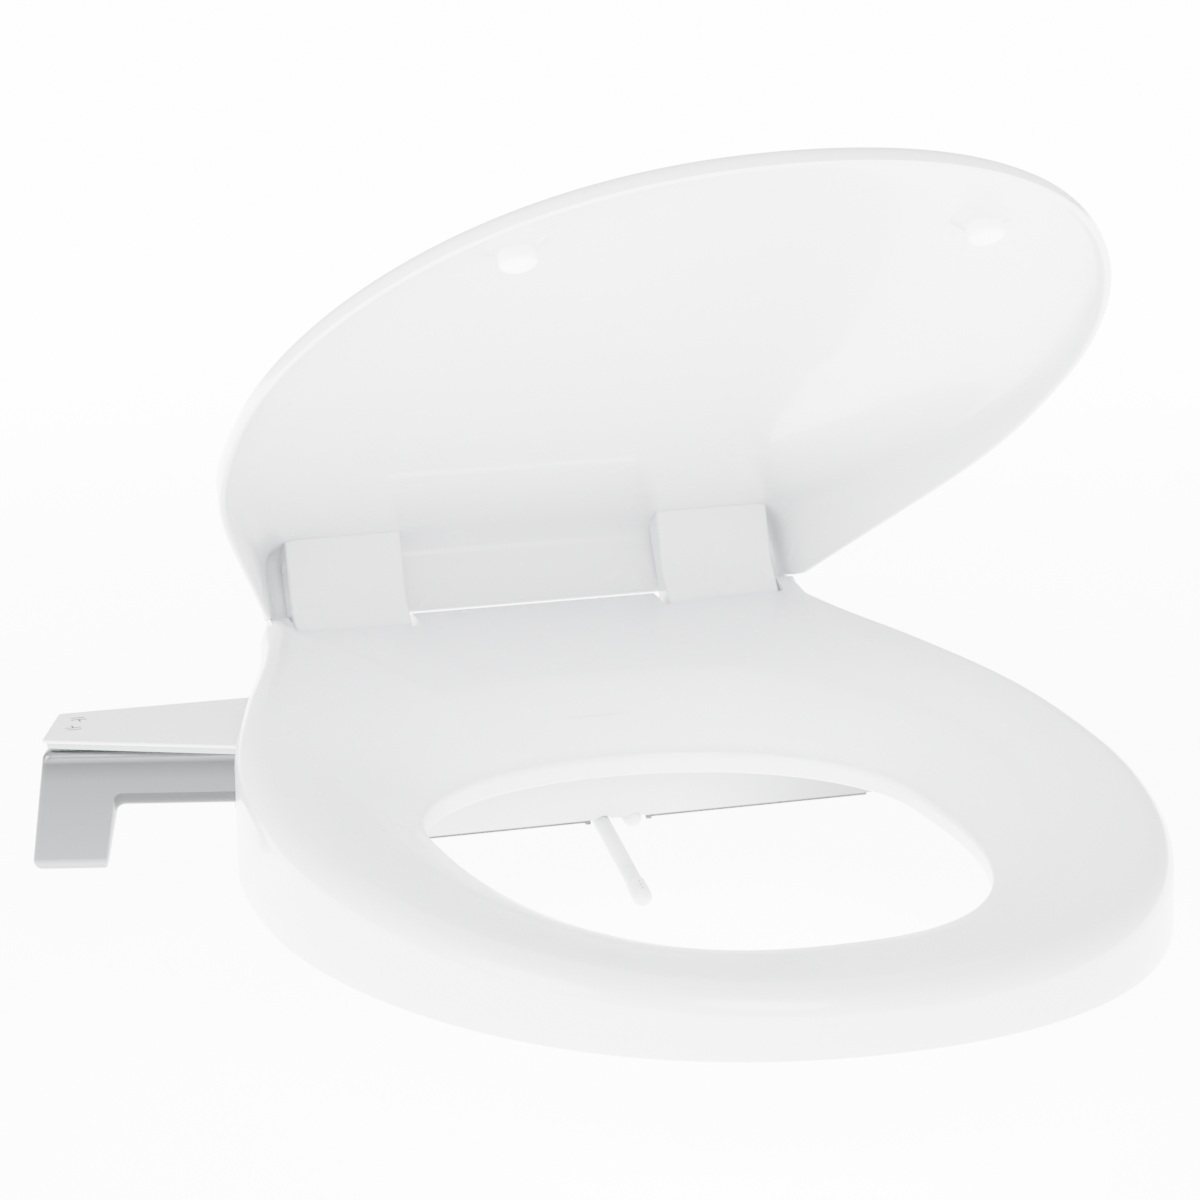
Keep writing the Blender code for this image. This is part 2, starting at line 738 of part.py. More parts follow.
def base_profile(shrink=0.0):
    """Side view of the base's cover as (y, z); shrink makes it smaller for the hollow."""
    outline = [
        (BASE_FRONT_Y, TRAY_Z),
        (BASE_FRONT_Y, 0.0460),
        (-0.086, 0.0520),
        (-0.072, 0.0560),
        (-0.052, 0.0570),
        (-0.036, 0.0540),
        (-0.024, 0.0485),
        (-0.004, 0.0470),
        (0.003, 0.0440),
        (BASE_REAR_Y, 0.0380),
        (BASE_REAR_Y, TRAY_Z),
    ]
    if not shrink:
        return outline
    top = [(y - shrink * (1 if y > -0.005 else 0), z - shrink) for y, z in outline[2:9]]
    front = BASE_FRONT_Y - 0.01
    start = [(front, TRAY_Z - 0.01), (front, 0.0460 - shrink), (BASE_FRONT_Y, 0.0460 - shrink)]
    end = [(BASE_REAR_Y - shrink, 0.037), (BASE_REAR_Y - shrink, TRAY_Z - 0.01)]
    return start + top + end


def post_outline():
    """A hinge post as (y, z): it leans back from the cover's top to the hinge line.

    It stays in front of the arc that the seat's rear edge sweeps when the seat is raised.
    """
    turn = [math.radians(a) for a in (-48, -15, 20, 55, 90, 125, 155)]
    arc = [(HINGE_Y + POST_R * math.sin(a), HINGE_Z + POST_R * math.cos(a)) for a in turn]
    return [(-0.046, 0.0550)] + arc + [(-0.0129, 0.0613), (-0.036, 0.0505), (-0.046, 0.0530)]


def build_base():
    cover = add_object(
        "base_cover",
        prism("base_cover", base_profile(), -BASE_HALF_WIDTH, BASE_HALF_WIDTH),
        "white_satin",
    )
    housing = box(
        "side_housing",
        (HOUSING_LEFT_X, HOUSING_FRONT_Y, TRAY_Z),
        (-BASE_HALF_WIDTH + 0.006, HOUSING_REAR_Y, HOUSING_TOP),
    )
    boolean(cover, add_cutter("side_housing", housing), "UNION")
    for side, sign in sides():
        low, high = span(sign, POST_INNER_X, POST_OUTER_X)
        post = prism("post_" + side, post_outline(), low, high)
        boolean(cover, add_cutter("post_" + side, post), "UNION")
    reach = BASE_HALF_WIDTH - COVER_T
    hollow = prism("base_hollow", base_profile(COVER_T), PANEL_LEFT_X + 0.003, reach)
    boolean(cover, add_cutter("base_hollow", hollow))
    room = box(
        "housing_hollow",
        (HOUSING_LEFT_X + COVER_T, HOUSING_FRONT_Y + COVER_T, TRAY_Z - 0.01),
        (PANEL_LEFT_X + 0.004, HOUSING_REAR_Y - COVER_T, HOUSING_TOP - COVER_T),
    )
    boolean(cover, add_cutter("housing_hollow", room))
    for side, sign in sides():
        start = (sign * (POST_INNER_X - 0.001), HINGE_Y, HINGE_Z)
        depth = POST_OUTER_X - POST_INNER_X + 0.002
        stations = [(0, PIN_R + GAP), (depth, PIN_R + GAP)]
        bore = turned("post_bore_" + side, stations, start, (sign, 0, 0), 16)
        boolean(cover, add_cutter("post_bore_" + side, bore))
    shaft_hole = turned(
        "shaft_hole",
        [(-0.004, SHAFT_R + 0.0006), (0.012, SHAFT_R + 0.0006)],
        LEVER_ROOT,
        lever_direction(),
        20,
    )
    boolean(cover, add_cutter("shaft_hole", shaft_hole))
    inlet_hole = turned(
        "inlet_hole",
        [(-0.010, FITTING_R + 0.0004), (0.002, FITTING_R + 0.0004)],
        INLET,
        (1, 0, 0),
        20,
    )
    boolean(cover, add_cutter("inlet_hole", inlet_hole))
    low, high = button_opening(0.0005)
    boolean(cover, add_cutter("button_hole", box("button_hole", low, high)))
    smooth(cover, 30)

    tray = add_object(
        "base_tray",
        box(
            "base_tray",
            (-0.121, BASE_FRONT_Y + 0.0005, TRAY_Z),
            (BASE_HALF_WIDTH - COVER_T - GAP, BASE_REAR_Y - COVER_T - GAP, TRAY_Z + TRAY_T),
        ),
        "white_satin",
    )
    slot = box("nozzle_slot", (-0.008, -0.10, 0.0), (0.029, -0.036, 0.02))
    boolean(tray, add_cutter("nozzle_slot", slot))

    bracket = add_object(
        "mounting_bracket",
        box(
            "mounting_bracket",
            (-BRACKET_HALF_WIDTH, BRACKET_FRONT_Y, 0.0),
            (BRACKET_HALF_WIDTH, BRACKET_REAR_Y, BRACKET_T),
        ),
        "grey_plastic",
    )
    for side, sign in sides():
        low, high = span(sign, BOLT_SLOT_X - 0.0035, BOLT_SLOT_X + 0.0035)
        hole = box("bolt_slot_" + side, (low, -0.042, -0.01), (high, -0.018, 0.01))
        boolean(bracket, add_cutter("bolt_slot_" + side, hole))

    panel = add_object(
        "splash_panel",
        box(
            "splash_panel",
            (PANEL_LEFT_X, PANEL_Y, PANEL_BOTTOM),
            (PANEL_RIGHT_X, PANEL_Y + PANEL_T, PANEL_TOP),
        ),
        "white_satin",
    )
    mouth = box("panel_mouth", (MOUTH_LEFT_X, -0.10, -0.02), (MOUTH_RIGHT_X, -0.09, MOUTH_TOP))
    boolean(panel, add_cutter("panel_mouth", mouth))
    gasket_spans = {"left": (PANEL_LEFT_X, MOUTH_LEFT_X), "right": (MOUTH_RIGHT_X, PANEL_RIGHT_X)}
    for side, (low, high) in gasket_spans.items():
        strip = box(
            "panel_gasket_" + side,
            (low, PANEL_Y + 0.0004, PANEL_BOTTOM - GASKET_H),
            (high, PANEL_Y + PANEL_T, PANEL_BOTTOM - GAP / 3),
        )
        add_object("panel_gasket_" + side, strip, "rubber")


# ---------------------------------------------------------------- water


def button_opening(clearance):
    """Low and high corners of the quick-release button's opening."""
    reach = Vector((0.010, 0.0065 + clearance, 0.0045 + clearance))
    return BUTTON - reach, BUTTON + reach


def sweep(name, path, radius, steps=10):
    """A round bar along a path of points."""
    rings = []
    for i, p in enumerate(path):
        p = Vector(p)
        before = Vector(path[max(i - 1, 0)])
        after = Vector(path[min(i + 1, len(path) - 1)])
        along = (after - before).normalized()
        side = along.cross(Vector((0, 0, 1))).normalized()
        up = side.cross(along)
        angles = [2 * math.pi * k / steps for k in range(steps)]
        rings.append([p + radius * (math.cos(a) * side + math.sin(a) * up) for a in angles])
    return loft(name, rings)


def curve_path(corners, steps=5):
    """A path through corners with each inner corner rounded."""
    path = [Vector(corners[0])]
    for a, b, c in zip(corners, corners[1:], corners[2:]):
        a, b, c = Vector(a), Vector(b), Vector(c)
        cut = min((a - b).length, (c - b).length) * 0.45
        first, last = b + (a - b).normalized() * cut, b + (c - b).normalized() * cut
        for i in range(steps + 1):
            t = i / steps
            path.append((1 - t) ** 2 * first + 2 * t * (1 - t) * b + t * t * last)
    path.append(Vector(corners[-1]))
    return path


def nozzle_point(x, a, rise=0.0):
    """A point a behind the panel on a nozzle's axis, lifted square to it by rise."""
    c, s = math.cos(NOZZLE_TILT), math.sin(NOZZLE_TILT)
    return Vector((x, PANEL_Y + a * c - rise * s, NOZZLE_Z + a * s + rise * c))


def nozzle_axis():
    return Vector((0, -math.cos(NOZZLE_TILT), -math.sin(NOZZLE_TILT)))


def spray_direction():
    """Square to the nozzles, upwards."""
    return Vector((0, -math.sin(NOZZLE_TILT), math.cos(NOZZLE_TILT)))


def add_nozzle(which, x, out):
    """A sliding tube with its spray head; out is how far the head stands out now."""
    tail = NOZZLE_LENGTH - out
    start = nozzle_point(x, tail)
    end = NOZZLE_LENGTH - NOZZLE_HEAD
    tube = turned(
        f"{which}_nozzle_tube",
        [(0, NOZZLE_R - 0.0006), (0.0008, NOZZLE_R), (end - GAP, NOZZLE_R)],
        start,
        nozzle_axis(),
    )
    item = add_object(f"{which}_nozzle_tube", tube, "white_satin")
    smooth(item)
    set_origin(item, nozzle_point(x, 0))
    r = NOZZLE_HEAD_R
    head = turned(
        f"{which}_nozzle_head",
        [
            (end, NOZZLE_R),
            (end + 0.0012, r),
            (end + NOZZLE_HEAD - 0.0045, r),
            (end + NOZZLE_HEAD - 0.0018, r * 0.82),
            (end + NOZZLE_HEAD, r * 0.35),
        ],
        start,
        nozzle_axis(),
    )
    item = add_object(f"{which}_nozzle_head", head, "white_gloss")
    for i in range(3):
        at = nozzle_point(x, SPRAY_FIRST - SPRAY_STEP * i - out, r)
        stations = [(-0.0012, SPRAY_R), (0.001, SPRAY_R)]
        hole = turned(f"{which}_spray_{i}", stations, at, spray_direction(), 8)
        boolean(item, add_cutter(f"{which}_spray_{i}", hole))
    smooth(item)
    set_origin(item, nozzle_point(x, 0))


def build_water():
    add_nozzle("rear", REAR_NOZZLE_X, NOZZLE_OUT)
    add_nozzle("front", FRONT_NOZZLE_X, NOZZLE_IN)

    low_x, high_x = REAR_NOZZLE_X - 0.0075, FRONT_NOZZLE_X + 0.0075
    corners = [
        (GUIDE_START, -GUIDE_LOW),
        (GUIDE_START, GUIDE_HIGH),
        (GUIDE_END, GUIDE_HIGH),
        (GUIDE_END, -GUIDE_LOW),
    ]
    rings = [[nozzle_point(x, a, rise) for a, rise in corners] for x in (low_x, high_x)]
    guide = add_object("nozzle_guide", loft("nozzle_guide", rings), "grey_plastic")
    for which, x in (("rear", REAR_NOZZLE_X), ("front", FRONT_NOZZLE_X)):
        start = nozzle_point(x, GUIDE_END + 0.002)
        length = GUIDE_END - GUIDE_START + 0.004
        stations = [(0, NOZZLE_R + GAP), (length, NOZZLE_R + GAP)]
        bore = turned("guide_bore_" + which, stations, start, nozzle_axis(), 20)
        boolean(guide, add_cutter("guide_bore_" + which, bore))

    valve_at = LEVER_ROOT + lever_direction() * 0.0130
    valve = ring_solid(
        "valve_body",
        [(0, 0.0095), (0.003, 0.0105), (0.0160, 0.0105)],
        [(0, SHAFT_R + GAP), (0.003, SHAFT_R + GAP), (0.0160, SHAFT_R + GAP)],
        valve_at,
        lever_direction(),
        24,
    )
    smooth(add_object("valve_body", valve, "brass"))

    feeds = {
        "rear": (REAR_NOZZLE_X, 0.030, 0.036),
        "front": (FRONT_NOZZLE_X, 0.040, 0.046),
    }
    for which, (x, z, a) in feeds.items():
        top = nozzle_point(x, a, GUIDE_HIGH + 2 * GAP)
        corners = [
            (-0.1215, -0.070, z),
            (-0.060, -0.075, z),
            (x, top.y, z),
            tuple(top),
        ]
        pipe = sweep(which + "_feed_tube", curve_path(corners), 0.0022)
        smooth(add_object(which + "_feed_tube", pipe, "clear_tube"))
    corners = [
        (0.1185, INLET.y, INLET.z),
        (0.100, -0.030, 0.030),
        (0.040, -0.016, SUPPLY_Z),
        (-0.100, -0.016, SUPPLY_Z),
        (-0.120, -0.050, SUPPLY_Z),
    ]
    pipe = sweep("supply_tube", curve_path(corners), 0.0026)
    smooth(add_object("supply_tube", pipe, "clear_tube"))

    fitting = ring_solid(
        "inlet_fitting",
        [(-0.0105, FITTING_R), (0.0140, FITTING_R)],
        [(-0.0105, FITTING_BORE_R), (0.0140, FITTING_BORE_R)],
        INLET,
        (1, 0, 0),
        24,
    )
    smooth(add_object("inlet_fitting", fitting, "brass"))
    nut = ring_solid(
        "inlet_nut",
        [(0, 0.0112), (0.0050, 0.0112)],
        [(0, 0.0083), (0.0050, 0.0083)],
        INLET,
        (1, 0, 0),
        6,
    )
    add_object("inlet_nut", nut, "brass")
    screen_r = FITTING_BORE_R - GAP
    screen = turned("inlet_filter", [(0.0080, screen_r), (0.0120, screen_r)], INLET, (1, 0, 0), 20)
    smooth(add_object("inlet_filter", screen, "steel"))


def build_button():
    low, high = button_opening(0.0)
    low.x = BUTTON.x - 0.0060
    high.x = BUTTON.x + 0.0030
    button = add_object("release_button", box("release_button", low, high), "grey_plastic")
    bevel(button, 0.0008)
    set_origin(button, BUTTON)
    turns, steps = 4, 12
    path = []
    for i in range(turns * steps + 1):
        a = 2 * math.pi * i / steps
        x = BUTTON.x - 0.0063 - 0.0085 * i / (turns * steps)
        path.append((x, BUTTON.y + SPRING_R * math.cos(a), BUTTON.z + SPRING_R * math.sin(a)))
    rings = []
    for i, p in enumerate(path):
        a = 2 * math.pi * i / steps
        outward = Vector((0, math.cos(a), math.sin(a)))
        around = [2 * math.pi * k / 6 for k in range(6)]
        across = Vector((1, 0, 0))
        turns_of_wire = [math.cos(b) * outward + math.sin(b) * across for b in around]
        rings.append([Vector(p) + SPRING_WIRE_R * w for w in turns_of_wire])
    smooth(add_object("release_spring", loft("release_spring", rings), "steel"))
    seat = box(
        "spring_seat",
        (BUTTON.x - 0.0175, BUTTON.y - 0.0060, TRAY_Z + TRAY_T + GAP),
        (BUTTON.x - 0.0153, BUTTON.y + 0.0060, BUTTON.z + 0.0050),
    )
    add_object("spring_seat", seat, "white_satin")


# ---------------------------------------------------------------- lever


def lever_direction():
    """Along the lever's arm, from its tip towards the body."""
    return Vector((math.cos(LEVER_SLANT), -math.sin(LEVER_SLANT), 0))


def lever_point(a, t, z):
    """a runs along the arm from its tip, t across it to the rear."""
    along = lever_direction()
    across = Vector((math.sin(LEVER_SLANT), math.cos(LEVER_SLANT), 0))
    tip = LEVER_ROOT - along * LEVER_LENGTH
    p = tip + along * a + across * t
    return Vector((p.x, p.y, z))


def build_lever():
    top = LEVER_ROOT.z + LEVER_HALF_HEIGHT
    low = LEVER_ROOT.z - LEVER_HALF_HEIGHT
    shape = [
        (0, top),
        (0, PADDLE_BOTTOM),
        (PADDLE_WIDTH, PADDLE_BOTTOM),
        (PADDLE_WIDTH, low - 0.006),
        (PADDLE_WIDTH + 0.0018, low - 0.0018),
        (PADDLE_WIDTH + 0.006, low),
        (LEVER_LENGTH, low),
        (LEVER_LENGTH, top),
    ]
    rings = [[lever_point(a, t, z) for a, z in shape] for t in (-LEVER_T / 2, LEVER_T / 2)]
    lever = add_object("control_lever", loft("control_lever", rings), "satin_metal")
    bevel(lever, LEVER_EDGE_R, 3)
    socket = turned(
        "lever_socket",
        [(-SOCKET_DEPTH, SHAFT_R + GAP), (0.002, SHAFT_R + GAP)],
        LEVER_ROOT,
        lever_direction(),
        20,
    )
    boolean(lever, add_cutter("lever_socket", socket))
    screw_at = LEVER_ROOT - lever_direction() * 0.010
    screw_hole = turned("screw_hole", [(0.004, 0.0019), (0.02, 0.0019)], screw_at, (0, 0, -1), 16)
    boolean(lever, add_cutter("screw_hole", screw_hole))
    smooth(lever, 40)
    set_origin(lever, LEVER_ROOT)

    shaft = turned(
        "lever_shaft",
        [(-SOCKET_DEPTH + 0.001, SHAFT_R), (0.0275, SHAFT_R)],
        LEVER_ROOT,
        lever_direction(),
        20,
    )
    item = add_object("lever_shaft", shaft, "steel")
    smooth(item)
    set_origin(item, LEVER_ROOT)
    depth = LEVER_HALF_HEIGHT - 0.0006
    screw = turned("lever_screw", [(SHAFT_R + GAP, 0.0016), (depth, 0.0016)], screw_at, (0, 0, -1), 16)
    item = add_object("lever_screw", screw, "steel")
    smooth(item)
    set_origin(item, LEVER_ROOT)


def build_lever_cover():
    """The flat cover over the lever's arm, and its two marks."""
    low_z, high_z = LEVER_COVER_Z, LEVER_COVER_Z + LEVER_COVER_T
    plan = [
        (-0.2285, -0.0300),
        (-0.2460, -0.0740),
        (-0.1640, -0.1160),
        (-BASE_HALF_WIDTH - 0.0005, -0.1160),
        (-BASE_HALF_WIDTH - 0.0005, -0.0310),
    ]
    cover = add_object("lever_cover", plan_prism("lever_cover", plan, low_z, high_z), "white_gloss")
    bevel(cover, 0.0009)
    marks = {"rear": (-0.2240, -0.0440), "front": (-0.2290, -0.0580)}
    for which, (x, y) in marks.items():
        mark = turned("cover_mark_" + which, [(GAP / 3, 0.0030), (0.0005, 0.0030)], (x, y, high_z), (0, 0, 1))
        add_object("cover_mark_" + which, mark, "icon_grey")


clear_scene()
build_seat()
build_lid()
build_hinge()
build_base()
build_water()
build_button()
build_lever()
build_lever_cover()
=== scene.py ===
"""The looks of the lever bidet seat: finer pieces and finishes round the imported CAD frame.

Row frame, metres: -Y to the front, +Z up, z = 0 at the rim of the bowl.
"""

import math

import bmesh
import bpy
from mathutils import Matrix, Vector


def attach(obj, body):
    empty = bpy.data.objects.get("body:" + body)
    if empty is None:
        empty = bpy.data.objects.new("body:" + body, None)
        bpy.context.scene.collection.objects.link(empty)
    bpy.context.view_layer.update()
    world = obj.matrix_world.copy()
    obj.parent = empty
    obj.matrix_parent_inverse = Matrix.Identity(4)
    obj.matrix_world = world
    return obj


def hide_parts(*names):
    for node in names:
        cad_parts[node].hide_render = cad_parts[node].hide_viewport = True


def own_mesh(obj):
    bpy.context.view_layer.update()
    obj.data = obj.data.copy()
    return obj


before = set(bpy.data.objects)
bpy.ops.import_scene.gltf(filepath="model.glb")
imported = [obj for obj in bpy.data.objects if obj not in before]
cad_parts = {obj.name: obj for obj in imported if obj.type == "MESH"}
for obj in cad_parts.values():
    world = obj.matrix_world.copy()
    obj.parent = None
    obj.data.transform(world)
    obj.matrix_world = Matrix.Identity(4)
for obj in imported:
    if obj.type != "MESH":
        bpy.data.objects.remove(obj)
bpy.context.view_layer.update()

# Hinge line of seat and lid
HINGE_Y = -0.006
HINGE_Z = 0.069
ARM_INNER_X = 0.0625
ARM_OUTER_X = 0.1171
NOTCH_INNER_X = 0.0590
NOTCH_OUTER_X = 0.1183
NOTCH_FRONT_Y = HINGE_Y - 0.0132
KNUCKLE_R = 0.0085
EAR_R = 0.0138
EAR_OUTER_X = 0.1272
BARREL_R = 0.0120

# Seat ring outline
SEAT_HALF_WIDTH = 0.185
SEAT_FRONT_Y = -0.468
SEAT_WIDEST_Y = -0.2395
SEAT_REAR_HALF_WIDTH = 0.1297
EAR_REAR_Y = 0.0085
TONGUE_REAR_Y = 0.0040
REAR_TAPER = 0.30
FRONT_HANDLE = 0.142
SIDE_HANDLE_FRONT = 0.079
SIDE_HANDLE_REAR = 0.099
REAR_HANDLE = 0.1366

# Opening, a superellipse
OPENING_HALF_WIDTH = 0.1070
OPENING_CENTRE_Y = -0.2100
OPENING_FRONT = 0.1900
OPENING_REAR = 0.1010
OPENING_POWER_FRONT = 2.5
OPENING_POWER_REAR = 2.05

# Seat heights
SKIRT_BOTTOM = 0.0090
SKIRT_RISE_FRONT_Y = -0.165
SKIRT_RISE_REAR_Y = -0.128
SKIRT_BOTTOM_REAR = 0.0575
SKIRT_BOTTOM_EAR = HINGE_Z - 0.0023
CREST_FRONT = 0.0358
CREST_SLOPE = 0.095
EAR_RISE = 0.0035
TONGUE_DIP = 0.0010
EDGE_FRONT = 0.0309
EDGE_SIDE = 0.0302
EDGE_REAR = 0.0298
EDGE_WALL = 0.0075
EDGE_ROUND = 0.0030
SEAT_WALL = 0.0030
SHOULDER = 0.012
EAR_SHOULDER = 0.0160
TONGUE_SHOULDER = 0.0055
SLOPE_BAND = 0.036
SLOPE_BAND_FRONT = 0.014
CREST_SHARE_REAR = 0.33
CREST_SHARE_FRONT = 0.60

# Lid, in its own frame: x across, u from the hinge line to the front, w out of its inner face
LID_OPEN = 0.5705
LID_SCALE_X = 0.9846
LID_SCALE_U = 0.9754
LID_SHIFT_U = 0.0026
LID_REAR_U = -0.0060
LID_REAR_HALF_WIDTH = 0.1280
LID_RIM_W = 0.0101
LID_LIP_R = 0.0150
LID_WALL = 0.0032
LID_DEPTH_FRONT = 0.0165
LID_DEPTH_REAR = 0.0415
LID_DEPTH_FALL = 0.13
LID_POWER_FRONT = 3.2
LID_POWER_REAR = 9.0
LID_CENTRE_U = 0.21
LID_BUMPER_X = 0.0957
LID_BUMPER_U = 0.374
LID_BUMPER_R = 0.0075
LID_BUMPER_TIP_W = 0.0132

# Lever
LEVER_ROOT = Vector((-0.1580, -0.0944, 0.0355))
LEVER_SLANT = math.radians(16.9)
LEVER_LENGTH = 0.099
LEVER_T = 0.0130
LEVER_TOP = 0.0484
LEVER_FACE_LOW = 0.0295
LEVER_ROUND = 0.0032
LEVER_FILLET = 0.0040
UNDERCUT = 0.0065  # the arm's lower side falls this far below its front face
UNDERCUT_DEPTH = 0.0060
PADDLE_LEAN = 0.11
PADDLE_LEFT = 0.0026
PADDLE_RIGHT = 0.0351
PADDLE_BOTTOM = -0.0050

# Cover over the lever
COVER_TOP = 0.0540
COVER_UNDER = 0.0524
COVER_RIB_UNDER = 0.0496
COVER_RIB_INSET = 0.0016
COVER_CORNER_R = 0.0022
COVER_PLAN = ((-0.2305, -0.0300), (-0.2460, -0.0745), (-0.1640, -0.1160))
COVER_INNER_X = -0.1305
MARK_LINE = 0.0008
MARK_RAISED = 0.0001
MARK_BOW = 0.0018

# Nozzles
PANEL_Y = -0.0950
PANEL_PAST_RIGHT = 0.0040
CLIP_HALF_WIDTH = 0.0012
CLIP_DROP = 0.0022
CLIPS = {"left": -0.0040, "right": 0.0248}
NOTCH_GAP = 0.0004
NOZZLE_TILT = math.radians(18.0)
NOZZLE_Z = -0.0045
NOZZLE_R = 0.0037
NOZZLE_HEAD_R = 0.0044
NOZZLE_HEAD = 0.0150
NOZZLE_LENGTH = 0.096
NOZZLE_SHORT = 0.0050  # the tip ends this far short of that length
NOZZLES = {"rear": (0.0032, 0.066), "front": (0.0180, 0.004)}  # x, and how far it stands out

# The photograph's viewpoint
CAMERA_AZIMUTH = -0.3045
CAMERA_ELEVATION = 0.2209
CAMERA_ROLL = -0.0158
CAMERA_DISTANCE = 1.8191
CAMERA_TARGET = Vector((0.0047, -0.0892, 0.0988))
CAMERA_LENS = 122.18

SKY_STRENGTH = 2.95
# the floor's glow, weaker near the object as painted shade under it, full far away
FLOOR_GLOW_NEAR_PAINTED_SHADE = 8.0
FLOOR_GLOW_FAR = 12.0
GLOW_R0 = 0.35
GLOW_R1 = 1.8
FLOOR_Z = -0.060
FLOOR_HALF = 14
LIGHT_SIZE = 1.6
LIGHTS = {"front": (150, (-0.5, -2.4, 1.7)), "left": (130, (-2.4, -0.8, 1.0))}  # watts and place
LIGHT_AIM = (0, -0.2, 0.08)


# ---------------------------------------------------------------- finishes


def new_material(name):
    made = bpy.data.materials.new(name)
    made.use_nodes = True
    return made, made.node_tree, made.node_tree.nodes["Principled BSDF"]


def noise(tree, scale, detail=3.0):
    """Fine noise fixed to the object, so that it rides with its piece."""
    place = tree.nodes.new("ShaderNodeTexCoord")
    node = tree.nodes.new("ShaderNodeTexNoise")
    node.inputs["Scale"].default_value = scale
    node.inputs["Detail"].default_value = detail
    tree.links.new(place.outputs["Object"], node.inputs["Vector"])
    return node


def map_range(tree, source, first, last, low=0.0, high=1.0, kind="LINEAR"):
    """Maps first..last of the source to low..high."""
    node = tree.nodes.new("ShaderNodeMapRange")
    node.interpolation_type = kind
    node.inputs["From Min"].default_value = first
    node.inputs["From Max"].default_value = last
    node.inputs["To Min"].default_value = low
    node.inputs["To Max"].default_value = high
    tree.links.new(source, node.inputs["Value"])
    return node.outputs["Result"]


def spread(tree, source, low, high):
    """Maps a noise's middle range to low..high."""
    return map_range(tree, source, 0.3, 0.7, low, high)


def object_axis(tree, axis, kind="Object"):
    """One axis of the object's own coordinates, or of its normals."""
    place = tree.nodes.new("ShaderNodeTexCoord")
    parts = tree.nodes.new("ShaderNodeSeparateXYZ")
    tree.links.new(place.outputs[kind], parts.inputs[0])
    return parts.outputs[axis]


def blend_colours(tree, factor, first, second):
    node = tree.nodes.new("ShaderNodeMix")
    node.data_type = "RGBA"
    node.inputs["A"].default_value = (*first, 1.0)
    node.inputs["B"].default_value = (*second, 1.0)
    tree.links.new(factor, node.inputs["Factor"])
    return node.outputs["Result"]


def bump(tree, shader, source, strength, distance):
    node = tree.nodes.new("ShaderNodeBump")
    node.inputs["Strength"].default_value = strength
    node.inputs["Distance"].default_value = distance
    tree.links.new(source, node.inputs["Height"])
    tree.links.new(node.outputs["Normal"], shader.inputs["Normal"])


def plastic(name, colour, roughness, gloss, grain=0.00002):
    """Moulded plastic: a hint of mottle, uneven gloss and a very fine moulded grain."""
    made, tree, shader = new_material(name)
    mottle = noise(tree, 14.0)
    darker = tuple(c * 0.985 for c in colour)
    tint = blend_colours(tree, mottle.outputs["Fac"], colour, darker)
    tree.links.new(tint, shader.inputs["Base Color"])
    wear = noise(tree, 60.0)
    rough = spread(tree, wear.outputs["Fac"], roughness * 0.85, roughness * 1.2)
    tree.links.new(rough, shader.inputs["Roughness"])
    fine = noise(tree, 900.0, 2.0)
    bump(tree, shader, fine.outputs["Fac"], 0.15, grain)
    shader.inputs["IOR"].default_value = 1.5
    shader.inputs["Coat Weight"].default_value = gloss
    shader.inputs["Coat Roughness"].default_value = 0.06
    return made


def metal(name, colour, roughness, grain):
    """Satin metal: faint clouding and a short, fine grain."""
    made, tree, shader = new_material(name)
    cloud = noise(tree, 30.0)
    tint = blend_colours(tree, cloud.outputs["Fac"], colour, tuple(c * 0.93 for c in colour))
    tree.links.new(tint, shader.inputs["Base Color"])
    fine = noise(tree, 1400.0, 2.0)
    rough = spread(tree, fine.outputs["Fac"], roughness * 0.85, roughness * 1.15)
    tree.links.new(rough, shader.inputs["Roughness"])
    bump(tree, shader, fine.outputs["Fac"], 0.2, grain)
    shader.inputs["Metallic"].default_value = 1.0
    return made


def shaded_panel():
    """The panel's white, with painted shade deepening towards its right end, where the ring hangs over it.
    """
    made, tree, shader = new_material("panel_painted_shade_look")
    # painted shade: the white darkens towards the panel's right end, standing in for the ring's shade
    across = map_range(tree, object_axis(tree, "X"), PANEL_PAINTED_SHADE_X0, PANEL_PAINTED_SHADE_X1, kind="SMOOTHSTEP")
    tint = blend_colours(tree, across, PANEL_WHITE, PANEL_PAINTED_SHADE)
    tree.links.new(tint, shader.inputs["Base Color"])
    wear = noise(tree, 60.0)
    rough = spread(tree, wear.outputs["Fac"], 0.32, 0.45)
    tree.links.new(rough, shader.inputs["Roughness"])
    return made


def lever_painted_light_greys(tree):
    """Grey against height, partly the metal's own grey and partly painted light: a painted highlight on the
    foot edge, the flat face, a painted dark reflection band and a painted highlight on the top edge.
    """
    height = map_range(tree, object_axis(tree, "Z"), PADDLE_BOTTOM, LEVER_TOP)
    ramp = tree.nodes.new("ShaderNodeValToRGB")
    stops = ramp.color_ramp.elements
    while len(stops) < len(LEVER_PAINTED_LIGHT_GREYS):
        stops.new(0.5)
    for stop, (at, grey) in zip(stops, LEVER_PAINTED_LIGHT_GREYS):
        stop.position = at
        stop.color = (grey * 0.96, grey * 1.01, grey * 1.04, 1.0)
    tree.links.new(height, ramp.inputs["Fac"])
    return ramp.outputs["Color"]


def lever_painted_shade_mask(tree):
    """Mask of painted shade: 1 on the faces that look down above the paddle's foot, 0 elsewhere."""
    down = map_range(tree, object_axis(tree, "Z", "Normal"), -0.12, -0.30)
    above_foot = map_range(tree, object_axis(tree, "Z"), 0.004, 0.010)
    under = tree.nodes.new("ShaderNodeMath")
    under.operation = "MULTIPLY"
    tree.links.new(down, under.inputs[0])
    tree.links.new(above_foot, under.inputs[1])
    return under.outputs["Value"]


